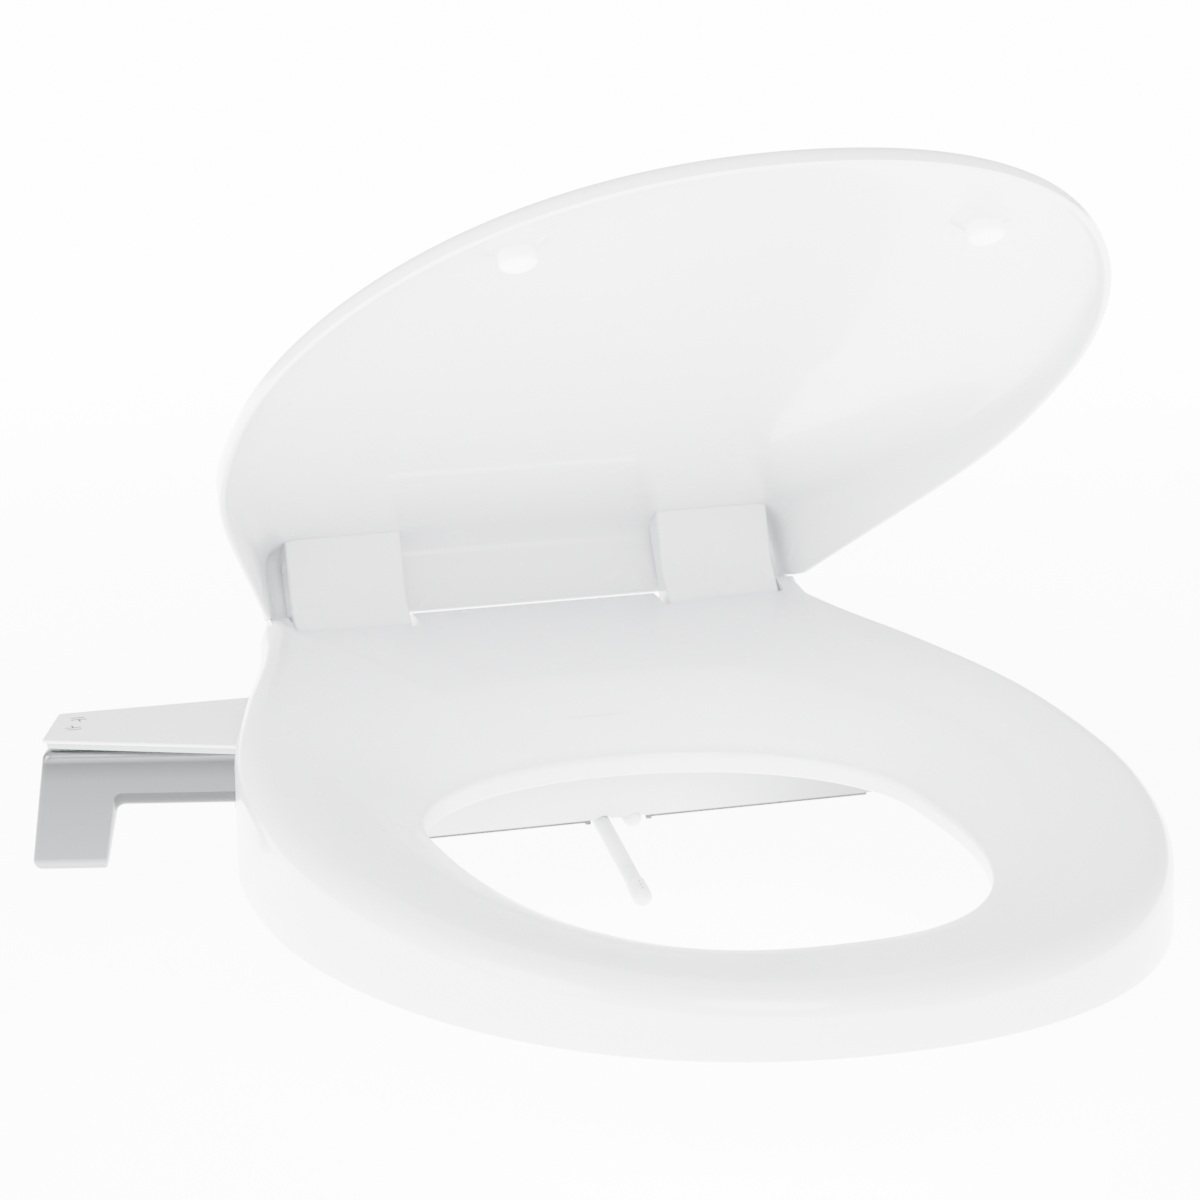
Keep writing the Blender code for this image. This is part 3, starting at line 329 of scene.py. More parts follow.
def lever_metal_with_painted_light():
    """The lever's satin metal, with painted highlights and a painted dark band along its height, and
    painted shade on its undercut.
    """
    made, tree, shader = new_material("satin_metal_painted_light_look")
    shade = tree.nodes.new("ShaderNodeMix")
    shade.data_type = "RGBA"
    shade.inputs["B"].default_value = (*LEVER_PAINTED_SHADE_GREY, 1.0)
    # painted shade on the undercut, the faces that look down
    tree.links.new(lever_painted_shade_mask(tree), shade.inputs["Factor"])
    # painted highlights and a painted dark reflection band, by height
    tree.links.new(lever_painted_light_greys(tree), shade.inputs["A"])
    tree.links.new(shade.outputs["Result"], shader.inputs["Base Color"])
    fine = noise(tree, 1400.0, 2.0)
    rough = spread(tree, fine.outputs["Fac"], 0.28, 0.38)
    tree.links.new(rough, shader.inputs["Roughness"])
    bump(tree, shader, fine.outputs["Fac"], 0.2, 0.00003)
    shader.inputs["Metallic"].default_value = 1.0
    shader.inputs["Coat Weight"].default_value = 0.15
    shader.inputs["Coat Roughness"].default_value = 0.12
    return made


PANEL_WHITE = (0.52, 0.527, 0.54)
# painted shade on the panel: its darkest colour, and the span across which it darkens
PANEL_PAINTED_SHADE = (0.20, 0.203, 0.21)
PANEL_PAINTED_SHADE_X0 = 0.03
PANEL_PAINTED_SHADE_X1 = 0.14
# painted light on the lever: its satin grey with painted highlights at the foot and top edges and a painted
# dark reflection band below the top
LEVER_PAINTED_LIGHT_GREYS = ((0.0, 0.16), (0.05, 0.22), (0.10, 0.088), (0.75, 0.062), (0.90, 0.034), (0.97, 0.14))
# painted shade: the grey of the lever's down-facing undercut
LEVER_PAINTED_SHADE_GREY = (0.028, 0.030, 0.031)
WHITE = (0.60, 0.608, 0.622)
MATERIALS = {
    "white_gloss": plastic("white_gloss_look", WHITE, 0.24, 0.35),
    "white_satin": plastic("white_satin_look", (0.56, 0.567, 0.58), 0.38, 0.0),
    "grey_plastic": plastic("grey_plastic_look", (0.30, 0.31, 0.32), 0.5, 0.0, 0.00005),
    "soft_white": plastic("soft_white_look", (0.95, 0.952, 0.95), 0.55, 0.0, 0.00004),
    "rubber": plastic("rubber_look", (0.05, 0.05, 0.055), 0.7, 0.0, 0.00006),
    # the lever's satin metal carries painted highlights and painted shade
    "satin_metal": lever_metal_with_painted_light(),
    "steel": metal("steel_look", (0.60, 0.60, 0.61), 0.25, 0.00001),
    "brass": metal("brass_look", (0.62, 0.56, 0.40), 0.28, 0.00001),
    "clear_tube": plastic("clear_tube_look", (0.72, 0.75, 0.78), 0.3, 0.2),
    "icon_grey": plastic("icon_grey_look", (0.03, 0.03, 0.033), 0.6, 0.0),
}


# ---------------------------------------------------------------- mesh tools


def add_piece(name, mesh, finish):
    made = bpy.data.objects.new(name, mesh)
    bpy.context.scene.collection.objects.link(made)
    made.data.materials.clear()
    made.data.materials.append(MATERIALS[finish])
    return made


def mesh_from(name, points, faces):
    mesh = bpy.data.meshes.new(name)
    mesh.from_pydata([tuple(p) for p in points], [], faces)
    work = bmesh.new()
    work.from_mesh(mesh)
    bmesh.ops.recalc_face_normals(work, faces=work.faces)
    work.to_mesh(mesh)
    work.free()
    mesh.update()
    return mesh


def loft(name, rings, closed=False):
    count = len(rings[0])
    points = [p for ring in rings for p in ring]
    faces = []
    spans = len(rings) if closed else len(rings) - 1
    for i in range(spans):
        a = i * count
        b = ((i + 1) % len(rings)) * count
        for j in range(count):
            k = (j + 1) % count
            faces.append((a + j, a + k, b + k, b + j))
    if not closed:
        last = (len(rings) - 1) * count
        faces.append(tuple(range(count)))
        faces.append(tuple(last + j for j in reversed(range(count))))
    return mesh_from(name, points, faces)


def circle(radius, centre, axis, steps):
    axis = Vector(axis).normalized()
    side = axis.orthogonal().normalized()
    up = axis.cross(side)
    angles = [2 * math.pi * i / steps for i in range(steps)]
    return [Vector(centre) + radius * (math.cos(a) * side + math.sin(a) * up) for a in angles]


def turned(name, stations, origin, axis, steps=48):
    axis = Vector(axis).normalized()
    return loft(name, [circle(r, Vector(origin) + axis * d, axis, steps) for d, r in stations])


def box(name, low, high):
    corners = [(low[0], low[1]), (high[0], low[1]), (high[0], high[1]), (low[0], high[1])]
    return loft(name, [[Vector((x, y, z)) for x, y in corners] for z in (low[2], high[2])])


def node_box(name):
    """Lowest and highest corner of a CAD node."""
    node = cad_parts[name]
    corners = [node.matrix_world @ v.co for v in node.data.vertices]
    low = Vector([min(c[k] for c in corners) for k in range(3)])
    high = Vector([max(c[k] for c in corners) for k in range(3)])
    return low, high


def add_cutter(name, mesh):
    made = bpy.data.objects.new(name, mesh)
    bpy.context.scene.collection.objects.link(made)
    return made


def apply_modifiers(item):
    """Bakes an object's modifiers into its mesh."""
    depsgraph = bpy.context.evaluated_depsgraph_get()
    baked = bpy.data.meshes.new_from_object(item.evaluated_get(depsgraph))
    item.modifiers.clear()
    item.data = baked


def cut(item, tools, operation="DIFFERENCE"):
    """Cuts or joins the tools with the item and removes them."""
    for tool in tools:
        step = item.modifiers.new("cut", "BOOLEAN")
        step.object = tool
        step.operation = operation
        step.solver = "EXACT"
    apply_modifiers(item)
    for tool in tools:
        bpy.data.objects.remove(tool)


def smooth(item, angle=40.0):
    item.data.shade_smooth()
    item.data.set_sharp_from_angle(angle=math.radians(angle))


def bevel(item, width, segments=3, angle=35.0):
    step = item.modifiers.new("bevel", "BEVEL")
    step.width = width
    step.segments = segments
    step.limit_method = "ANGLE"
    step.angle_limit = math.radians(angle)


def smoothstep(low, high, value):
    t = min(max((value - low) / (high - low), 0.0), 1.0)
    return t * t * (3 - 2 * t)


def mix(a, b, t):
    return a + (b - a) * t


def bezier(p0, p1, p2, p3, steps):
    points = []
    for i in range(steps):
        t = i / steps
        a, b, c, d = (1 - t) ** 3, 3 * t * (1 - t) ** 2, 3 * t * t * (1 - t), t**3
        points.append(tuple(a * p0[k] + b * p1[k] + c * p2[k] + d * p3[k] for k in (0, 1)))
    return points


def sides():
    return (("left", -1), ("right", 1))


def span(sign, near, far):
    return sorted((sign * near, sign * far))


# ---------------------------------------------------------------- outlines


def half_outline(steps):
    """The seat's right side from the front tip to just before the rear corner."""
    a, w = SEAT_HALF_WIDTH, SEAT_REAR_HALF_WIDTH
    nose = bezier(
        (0, SEAT_FRONT_Y),
        (FRONT_HANDLE, SEAT_FRONT_Y),
        (a, SEAT_WIDEST_Y - SIDE_HANDLE_FRONT),
        (a, SEAT_WIDEST_Y),
        steps,
    )
    flank = bezier(
        (a, SEAT_WIDEST_Y),
        (a, SEAT_WIDEST_Y + SIDE_HANDLE_REAR),
        (w + REAR_HANDLE * math.sin(REAR_TAPER), -REAR_HANDLE * math.cos(REAR_TAPER)),
        (w, 0),
        steps,
    )
    return nose + flank


def round_corner(points, corner, radius, steps=12):
    at = Vector(corner)
    first = at + (Vector(points[-1]) - at).normalized() * radius
    second = at + Vector((-1, 0)) * radius
    arc = []
    for i in range(steps + 1):
        t = i / steps
        p = (1 - t) ** 2 * first + 2 * t * (1 - t) * at + t * t * second
        arc.append((p.x, p.y))
    return points + arc


def close_outline(half, rear):
    return half + rear + [(-x, y) for x, y in reversed(half[1:])]


def inset(outline, distance):
    moved = []
    count = len(outline)
    for i, p in enumerate(outline):
        before, after = Vector(outline[i - 1]), Vector(outline[(i + 1) % count])
        along = (after - before).normalized()
        moved.append((p[0] - along.y * distance, p[1] + along.x * distance))
    return moved


# ---------------------------------------------------------------- seat


def opening_radius(angle):
    c, s = abs(math.cos(angle)), abs(math.sin(angle))
    reach, n = OPENING_REAR, OPENING_POWER_REAR
    if math.sin(angle) < 0:
        reach, n = OPENING_FRONT, OPENING_POWER_FRONT
    return ((c / OPENING_HALF_WIDTH) ** n + (s / reach) ** n) ** (-1 / n)


def ear_share(x, y):
    return smoothstep(0.100, 0.118, abs(x)) * smoothstep(-0.014, -0.003, y)


def crest_height(x, y):
    line = CREST_FRONT + CREST_SLOPE * (min(y, 0) - SEAT_FRONT_Y)
    tongue = (1 - smoothstep(0.095, 0.115, abs(x))) * smoothstep(-0.05, -0.01, y)
    return line + EAR_RISE * ear_share(x, y) - TONGUE_DIP * tongue


def edge_height(angle):
    s = math.sin(angle)
    end = EDGE_FRONT if s < 0 else EDGE_REAR
    return EDGE_SIDE + (end - EDGE_SIDE) * s * s


def skirt_foot(y):
    rise = smoothstep(SKIRT_RISE_FRONT_Y, SKIRT_RISE_REAR_Y, y)
    low = SKIRT_BOTTOM + (SKIRT_BOTTOM_REAR - SKIRT_BOTTOM) * rise
    return low + (SKIRT_BOTTOM_EAR - SKIRT_BOTTOM_REAR) * smoothstep(-0.03, -0.006, y)


def shoulder_radius(x, y):
    side = SHOULDER + (EAR_SHOULDER - SHOULDER) * smoothstep(-0.09, -0.03, y)
    tongue = (1 - smoothstep(0.066, 0.075, abs(x))) * smoothstep(-0.01, 0.0, y)
    return side + (TONGUE_SHOULDER - side) * tongue


def seat_section(outer):
    """One closed section of the ring's wall: up the outside, over the top and back."""
    out = Vector(outer)
    angle = math.atan2(out.y - OPENING_CENTRE_Y, out.x)
    reach = opening_radius(angle)
    into = Vector((reach * math.cos(angle), OPENING_CENTRE_Y + reach * math.sin(angle)))
    width = (into - out).length
    step = (into - out) / width
    shoulder = shoulder_radius(*outer)
    crest = crest_height(*outer)
    edge = edge_height(angle)
    forward = max(0.0, -math.sin(angle)) ** 2
    band = mix(SLOPE_BAND, SLOPE_BAND_FRONT, forward)
    share = mix(CREST_SHARE_REAR, CREST_SHARE_FRONT, forward)
    flat = width - shoulder - band

    def top(s):
        rounding = max(0.0, 1 - s / shoulder)
        drop = shoulder * (1 - math.sqrt(1 - rounding**2))
        along = min(max((s - shoulder * 0.5) / (flat + shoulder * 0.5), 0.0), 1.0)
        into_slope = min(max(1 - (width - s) / band, 0.0), 1.0)
        fall = share * along**1.6 + (1 - share) * into_slope**1.35
        ear = EAR_RISE * ear_share(*outer) * smoothstep(0.010, 0.028, s)
        return crest - drop - ear - (crest - ear - edge) * fall

    def at(s, z):
        p = out + step * s
        return Vector((p.x, p.y, z))

    low = skirt_foot(out.y)
    spring = crest - shoulder
    start = 0.0
    if low > spring:
        start = shoulder * (1 - math.sqrt(max(0.0, 1 - ((low - spring) / shoulder) ** 2)))
    wall = SEAT_WALL
    outside = [at(start + 0.0012, low), at(start + 0.0003, low + 0.0003)]
    outside.append(at(start, low + 0.0012))
    wall_top = max(spring, low + 0.0015)
    outside += [at(start, mix(low + 0.0012, wall_top, t)) for t in (0.33, 0.66)]
    arc_steps = 14
    for i in range(arc_steps + 1):
        s = start + (shoulder - start) * (1 - math.cos(math.pi / 2 * i / arc_steps))
        outside.append(at(s, max(top(s), wall_top)))
    outside += [at(s, top(s)) for s in (shoulder + flat * i / 10 for i in range(1, 11))]
    reach_in = band - EDGE_ROUND * 0.6
    outside += [at(s, top(s)) for s in (width - band + reach_in * i / 12 for i in range(1, 13))]
    last = top(width - EDGE_ROUND * 0.6)
    for i in range(1, 6):
        a = math.pi / 2 * i / 5
        s = width - EDGE_ROUND * 0.6 * (1 - math.sin(a))
        outside.append(at(s, last - EDGE_ROUND * (1 - math.cos(a))))
    outside.append(at(width, edge - EDGE_WALL + 0.0006))
    outside.append(at(width - 0.0006, edge - EDGE_WALL))

    inner = [at(width - wall, edge - EDGE_WALL), at(width - wall, edge - 0.0052)]
    under = [shoulder + (flat + band - wall - 0.001) * t for t in (0.93, 0.8, 0.66, 0.5, 0.25, 0.0)]
    inner += [at(s, max(top(s) - wall * 1.35, edge - 0.0050)) for s in under]
    foot_in = start + wall
    inner_arc = [foot_in + (shoulder - foot_in) * t for t in (0.55, 0.2)]
    floor = max(low, spring) + 0.001
    inner += [at(s, max(top(s) - wall * 1.5, floor)) for s in inner_arc]
    inner += [at(foot_in, floor), at(foot_in, low)]
    return outside + inner


def seat_outline():
    corner = (SEAT_REAR_HALF_WIDTH, EAR_REAR_Y)
    half = round_corner(half_outline(60), corner, 0.009)
    rear = [(x, EAR_REAR_Y) for x in (0.119, 0.1175, 0.1150)]
    steps = 36
    tongue = [(0.072 - 0.144 * i / steps, TONGUE_REAR_Y) for i in range(steps + 1)]
    rear = rear + tongue + [(-x, y) for x, y in reversed(rear)]
    return close_outline(half, rear)


def knuckle_outline(radius):
    turn = [math.radians(a) for a in range(0, 216, 9)]
    arc = [(HINGE_Y + radius * math.sin(a), HINGE_Z + radius * math.cos(a)) for a in turn]
    return arc + [(NOTCH_FRONT_Y - 0.003, HINGE_Z - 0.008), (NOTCH_FRONT_Y - 0.003, HINGE_Z + 0.0055)]


def prism(name, outline, x0, x1):
    return loft(name, [[Vector((x, y, z)) for y, z in outline] for x in (x0, x1)])


def build_seat():
    sections = [seat_section(p) for p in seat_outline()]
    shell = add_piece("seat_ring", loft("seat_ring", sections, closed=True), "white_gloss")
    notches = []
    joined = []
    for side, sign in sides():
        low, high = span(sign, NOTCH_INNER_X, NOTCH_OUTER_X)
        notches.append(add_cutter("n" + side, box("n", (low, NOTCH_FRONT_Y, 0.0), (high, 0.03, 0.12))))
        low, high = span(sign, NOTCH_INNER_X - 0.0035, NOTCH_INNER_X - 0.0002)
        joined.append(add_cutter("k" + side, prism("k", knuckle_outline(KNUCKLE_R), low, high)))
        low, high = span(sign, NOTCH_OUTER_X + 0.0002, EAR_OUTER_X)
        joined.append(add_cutter("e" + side, prism("e", knuckle_outline(EAR_R), low, high)))
        low, high = span(sign, NOTCH_INNER_X - 0.0030, NOTCH_OUTER_X + 0.002)
        wall_low = (low, NOTCH_FRONT_Y - 0.0035, HINGE_Z - 0.0075)
        wall_high = (high, NOTCH_FRONT_Y - 0.0002, crest_height(0.08, 0) - 0.005)
        joined.append(add_cutter("w" + side, box("w", wall_low, wall_high)))
    cut(shell, notches)
    cut(shell, joined, "UNION")
    smooth(shell)
    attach(shell, "seat")
    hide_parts("seat_shell")


# ---------------------------------------------------------------- lid


def lid_place(x, u, w):
    c, s = math.cos(LID_OPEN), math.sin(LID_OPEN)
    return Vector((x, HINGE_Y - c * u + s * w, HINGE_Z + s * u + c * w))


def lid_outline(steps=60):
    half = [(x * LID_SCALE_X, LID_SHIFT_U - y * LID_SCALE_U) for x, y in half_outline(steps)]
    half = round_corner(half, (LID_REAR_HALF_WIDTH, LID_REAR_U), 0.007, 10)
    x1 = half[-1][0]
    count = 40
    rear = [(x1 * (1 - 2 * i / count), LID_REAR_U) for i in range(1, count)]
    return close_outline(half, rear)


def lid_depth(u):
    return mix(LID_DEPTH_FRONT, LID_DEPTH_REAR, math.exp(-u / LID_DEPTH_FALL))


def rim_height(u):
    return max(LID_RIM_W, math.sqrt(max(LID_LIP_R**2 - u * u, 0.0)))


def lid_power(x, u):
    """The dome's squareness, higher towards the rear."""
    d = Vector((x, u - LID_CENTRE_U)).normalized()
    return mix(LID_POWER_FRONT, LID_POWER_REAR, smoothstep(-0.2, 1.0, -d.y))


def lid_ring(outline, r, extra):
    ring = []
    for x, u in outline:
        px, pu = x * r, LID_CENTRE_U + (u - LID_CENTRE_U) * r
        n = lid_power(x, u)
        dome = (1 - r**n) ** (1 / n)
        w = LID_RIM_W + (lid_depth(pu) + extra) * dome
        ring.append((px, pu, max(w, rim_height(u))))
    return ring


LID_STEPS = [math.sin(math.pi / 2 * i / 26) for i in range(1, 27)]
INNER_OUTLINE = inset(lid_outline(24), -LID_WALL)


def lid_floor(x, u):
    """Height of the lid's inner face above the hinge plane."""
    d = Vector((x, u - LID_CENTRE_U))
    r = 1.0
    for i, p in enumerate(INNER_OUTLINE):
        a = Vector((p[0], p[1] - LID_CENTRE_U))
        b = Vector((INNER_OUTLINE[i - 1][0], INNER_OUTLINE[i - 1][1] - LID_CENTRE_U))
        edge = b - a
        cross = d.x * edge.y - d.y * edge.x
        if abs(cross) < 1e-12:
            continue
        k = (a.x * edge.y - a.y * edge.x) / cross
        t = (a.x * d.y - a.y * d.x) / cross
        if k > 0 and 0 <= t <= 1:
            r = 1 / k
    r = min(r, 1.0)
    n = lid_power(x, u)
    return LID_RIM_W + lid_depth(u) * (1 - r**n) ** (1 / n)


def build_lid():
    outer = lid_outline()
    inner = inset(outer, -LID_WALL)
    rim_out = inset(outer, -0.0008)
    rim_in = inset(outer, -LID_WALL + 0.0008)
    rings = [lid_ring(outer, r, LID_WALL) for r in LID_STEPS]
    rings[-1] = [(x, u, w + 0.0008) for x, u, w in rings[-1]]
    rings.append(lid_ring(rim_out, 1.0, 0.0))
    rings.append(lid_ring(rim_in, 1.0, 0.0))
    first = lid_ring(inner, 1.0, 0.0)
    rings.append([(x, u, w + 0.0008) for x, u, w in first])
    rings += [lid_ring(inner, r, 0.0) for r in reversed(LID_STEPS[:-1])]
    placed = [[lid_place(*p) for p in ring] for ring in rings]
    shell = add_piece("lid_dome", loft("lid_dome", placed), "white_gloss")
    smooth(shell, 50)
    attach(shell, "lid")
    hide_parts("lid_shell")
    for side, sign in sides():
        add_arm(side, sign)
        add_lid_bumper(side, sign)


def arm_profile(x):
    """Side view of a hinge arm, as (u, w)."""
    floor = [(u, lid_floor(x, u) + 0.0004) for u in (0.0183, 0.014, 0.010, 0.006, 0.002)]
    front = [(0.0122, 0.0), (0.0116, 0.0065), (0.0110, 0.0130), (0.0104, 0.0195)]
    face = [(mix(0.0104, 0.0183, t), mix(0.0195, floor[0][1], t)) for t in (0.2, 0.45, 0.7)]
    rear = [(-0.0008, 0.0205), (-0.0012, 0.0174)]
    turn = [math.radians(a) for a in range(106, 353, 8)]
    barrel = [(BARREL_R * math.cos(a), BARREL_R * math.sin(a)) for a in turn]
    return front + face + floor + rear + barrel


def add_arm(side, sign):
    count = 10
    rings = []
    for i in range(count + 1):
        x = mix(ARM_INNER_X, ARM_OUTER_X, i / count)
        rings.append([lid_place(sign * x, u, w) for u, w in arm_profile(x)])
    arm = add_piece("arm_" + side, loft("arm_" + side, rings), "white_gloss")
    bevel(arm, 0.0012, 3, 50)
    smooth(arm, 50)
    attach(arm, "lid")
    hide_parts("hinge_arm_" + side)


def add_lid_bumper(side, sign):
    x0, u0 = sign * LID_BUMPER_X, LID_BUMPER_U
    steps = 40
    angles = [2 * math.pi * i / steps for i in range(steps)]

    def on_floor(radius, lift):
        ring = []
        for a in angles:
            x, u = x0 + radius * math.cos(a), u0 + radius * math.sin(a)
            ring.append((x, u, lid_floor(x, u) - lift))
        return ring

    def flat(radius, w):
        return [(x0 + radius * math.cos(a), u0 + radius * math.sin(a), w) for a in angles]

    root = LID_BUMPER_TIP_W + 0.0075
    boss = [on_floor(0.0130, -0.0003), on_floor(0.0122, 0.0003), on_floor(0.0106, 0.0012)]
    boss += [flat(0.0090, root + 0.0010), flat(0.0082, root)]
    placed = [[lid_place(*p) for p in ring] for ring in boss]
    base = add_piece("bumper_boss_" + side, loft("bumper_boss_" + side, placed), "white_gloss")
    smooth(base, 60)
    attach(base, "lid")
    pad = [flat(LID_BUMPER_R * 0.98, root + 0.0001), flat(LID_BUMPER_R, root - 0.0010)]
    pad.append(flat(LID_BUMPER_R, LID_BUMPER_TIP_W + 0.0030))
    for i in range(1, 7):
        a = math.pi / 2 * i / 6.5
        pad.append(flat(LID_BUMPER_R * math.cos(a) + 0.0001, LID_BUMPER_TIP_W + 0.0030 * (1 - math.sin(a))))
    placed = [[lid_place(*p) for p in ring] for ring in pad]
    tip = add_piece("bumper_pad_" + side, loft("bumper_pad_" + side, placed), "soft_white")
    smooth(tip, 60)
    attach(tip, "lid")
    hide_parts("lid_bumper_" + side)


# ---------------------------------------------------------------- lever


def lever_direction():
    return Vector((math.cos(LEVER_SLANT), -math.sin(LEVER_SLANT), 0))


def lever_point(a, t, z):
    along = lever_direction()
    across = Vector((math.sin(LEVER_SLANT), math.cos(LEVER_SLANT), 0))
    p = LEVER_ROOT - along * (LEVER_LENGTH - a) + across * t
    return Vector((p.x, p.y, z))


def corner_arc(centre, radius, start, end, steps=7):
    points = []
    for i in range(steps + 1):
        a = math.radians(mix(start, end, i / steps))
        points.append((centre[0] + radius * math.cos(a), centre[1] + radius * math.sin(a)))
    return points


def paddle_x(foot_x, z):
    """The paddle leans: its foot stands farther out than its top."""
    return foot_x + PADDLE_LEAN * (z - PADDLE_BOTTOM)


def lever_shape(shrink, under):
    """The lever's front view as (along, z).

    shrink draws the outer edges in; under (0 to 1) lets the arm's lower side down.
    """
    r = 0.0042 - shrink * 0.5
    top, foot = LEVER_TOP - shrink, PADDLE_BOTTOM + shrink
    low = LEVER_FACE_LOW - UNDERCUT * under
    left_top, left_foot = paddle_x(PADDLE_LEFT, top) + shrink, PADDLE_LEFT + shrink
    shape = corner_arc((left_top + r, top - r), r, 90, 180)
    shape += corner_arc((left_foot + r, foot + r), r, 180, 270)
    right_foot = PADDLE_RIGHT - shrink * 0.3
    small = 0.0014
    shape += corner_arc((right_foot - small, foot + small), small, 270, 360)
    inner = LEVER_FILLET + 0.0006 * under
    right_top = paddle_x(PADDLE_RIGHT, low) + 0.0012 * under
    shape += corner_arc((right_top + inner, low - inner), inner, 180, 90)
    shape += [(LEVER_LENGTH, low), (LEVER_LENGTH, top)]
    return shape


def build_lever():
    half = LEVER_T / 2
    rings = []
    steps = 8
    for i in range(steps + 1):
        a = math.pi / 2 * i / steps
        t = LEVER_ROUND * (1 - math.cos(a))
        under = math.sin(math.pi / 2 * min(t / UNDERCUT_DEPTH, 1.0))
        shape = lever_shape(LEVER_ROUND * (1 - math.sin(a)), under)
        rings.append([lever_point(x, t - half, z) for x, z in shape])
    for t in (0.0042, 0.0051, UNDERCUT_DEPTH):
        under = math.sin(math.pi / 2 * t / UNDERCUT_DEPTH)
        rings.append([lever_point(x, t - half, z) for x, z in lever_shape(0.0, under)])
    for i in range(steps + 1):
        a = math.pi / 2 * (1 - i / steps)
        t = half - LEVER_ROUND * (1 - math.cos(a))
        rings.append([lever_point(x, t, z) for x, z in lever_shape(LEVER_ROUND * (1 - math.sin(a)), 1.0)])
    lever = add_piece("lever_grip", loft("lever_grip", rings), "satin_metal")
    socket = turned("s", [(-0.020, 0.0058), (0.002, 0.0058)], LEVER_ROOT, lever_direction(), 32)
    cut(lever, [add_cutter("socket", socket)])
    smooth(lever, 28)
    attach(lever, "lever")
    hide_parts("control_lever")


def round_plan(points, radius, steps=5):
    """Rounds the corners of an open run of plan points."""
    rounded = []
    for before, at, after in zip(points, points[1:], points[2:]):
        here = Vector(at)
        first = here + (Vector(before) - here).normalized() * radius
        last = here + (Vector(after) - here).normalized() * radius
        for i in range(steps + 1):
            t = i / steps
            p = (1 - t) ** 2 * first + 2 * t * (1 - t) * here + t * t * last
            rounded.append((p.x, p.y))
    return rounded


def add_cover_layer(name, low, high, drawn_in, finish):
    far, near, body = COVER_PLAN
    far = (far[0] + drawn_in, far[1])
    near = (near[0] + drawn_in * 1.4, near[1] + drawn_in)
    body = (body[0], body[1] + drawn_in)
    rear = far[1] - 0.0010
    plan = [(COVER_INNER_X, rear)] + round_plan([(COVER_INNER_X, rear), far, near, body], COVER_CORNER_R)
    plan += [body, (COVER_INNER_X, body[1])]
    layer = add_piece(name, loft(name, [[Vector((x, y, z)) for x, y in plan] for z in (low, high)]), finish)
    bevel(layer, 0.0006, 3)
    smooth(layer, 40)
    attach(layer, "base")
    return layer


def build_lever_cover():
    """A thin plate with a set-back rib under it; the rib's dark grey is painted shade under the plate, over
    the lever.
    """
    plate = add_cover_layer("cover_plate", COVER_UNDER, COVER_TOP, 0.0, "white_gloss")
    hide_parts("lever_cover")
    # painted shade: the set-back rib's dark grey stands in for the shade under the plate
    add_cover_layer("cover_rib_painted_shade", COVER_RIB_UNDER, COVER_UNDER + 0.0002, COVER_RIB_INSET, "grey_plastic")


def ribbon(name, line, width, low, high):
    """A raised line of the given width on a level face."""
    left, right = [], []
    for i, p in enumerate(line):
        before, after = Vector(line[max(i - 1, 0)]), Vector(line[min(i + 1, len(line) - 1)])
        along = (after - before).normalized() * width / 2
        left.append((p[0] - along.y, p[1] + along.x))
        right.append((p[0] + along.y, p[1] - along.x))
    around = left + right[::-1]
    return loft(name, [[Vector((x, y, z)) for x, y in around] for z in (low, high)])


def bowed_stroke(middle, bow, shift, reach):
    stroke = []
    for degrees in range(-60, 61, 15):
        a = math.radians(degrees)
        rise = shift + MARK_BOW * (math.cos(a) - 0.6)
        stroke.append((middle.x + reach * math.sin(a), middle.y + bow * rise))
    return stroke


def build_marks():
    """Two plain signs for the two spray positions: bowed strokes and a short stem."""
    for which, bow in (("rear", 1.0), ("front", -1.0)):
        low, high = node_box("cover_mark_" + which)
        middle = (low + high) / 2
        strokes = [bowed_stroke(middle, bow, 0.0026, 0.0034), bowed_stroke(middle, bow, -0.0006, 0.0040)]
        strokes.append([(middle.x, middle.y - bow * 0.0040), (middle.x, middle.y - bow * 0.0003)])
        bottom, top = COVER_TOP - MARK_RAISED, COVER_TOP + MARK_RAISED
        pieces = [ribbon("m", line, MARK_LINE, bottom, top) for line in strokes]
        mark = add_piece("mark_" + which, pieces[0], "icon_grey")
        cut(mark, [add_cutter("m" + str(i), mesh) for i, mesh in enumerate(pieces[1:])], "UNION")
        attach(mark, "base")
        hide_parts("cover_mark_" + which)


# ---------------------------------------------------------------- splash panel


def build_panel():
    """The panel with a round notch over each nozzle, and a dark clip beside each."""
    low, high = node_box("splash_panel")
    high.x += PANEL_PAST_RIGHT
    panel = add_piece("panel_plate", box("panel_plate", low, high), "white_satin")
    notches = []
    for which, (x, _) in NOZZLES.items():
        start = nozzle_point(x, -0.02)
        radius = NOZZLE_HEAD_R + NOTCH_GAP
        notch = turned("n", [(0, radius), (-0.05, radius)], start, nozzle_axis())
        notches.append(add_cutter("notch_" + which, notch))
    cut(panel, notches)
    bevel(panel, 0.0004, 2)
    # the panel's material carries painted shade towards its right end
    panel.data.materials[0] = shaded_panel()
    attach(panel, "base")
    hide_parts("splash_panel")
    for name, x in CLIPS.items():
        clip_low = (x - CLIP_HALF_WIDTH, low.y + 0.0003, low.z - CLIP_DROP)
        clip_high = (x + CLIP_HALF_WIDTH, low.y + 0.003, low.z + 0.0002)
        clip = add_piece("panel_clip_" + name, box("clip", clip_low, clip_high), "rubber")
        bevel(clip, 0.0003, 2)
        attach(clip, "base")


# ---------------------------------------------------------------- nozzles


def nozzle_point(x, a, rise=0.0):
    c, s = math.cos(NOZZLE_TILT), math.sin(NOZZLE_TILT)
    return Vector((x, PANEL_Y + a * c - rise * s, NOZZLE_Z + a * s + rise * c))


def nozzle_axis():
    return Vector((0, -math.cos(NOZZLE_TILT), -math.sin(NOZZLE_TILT)))


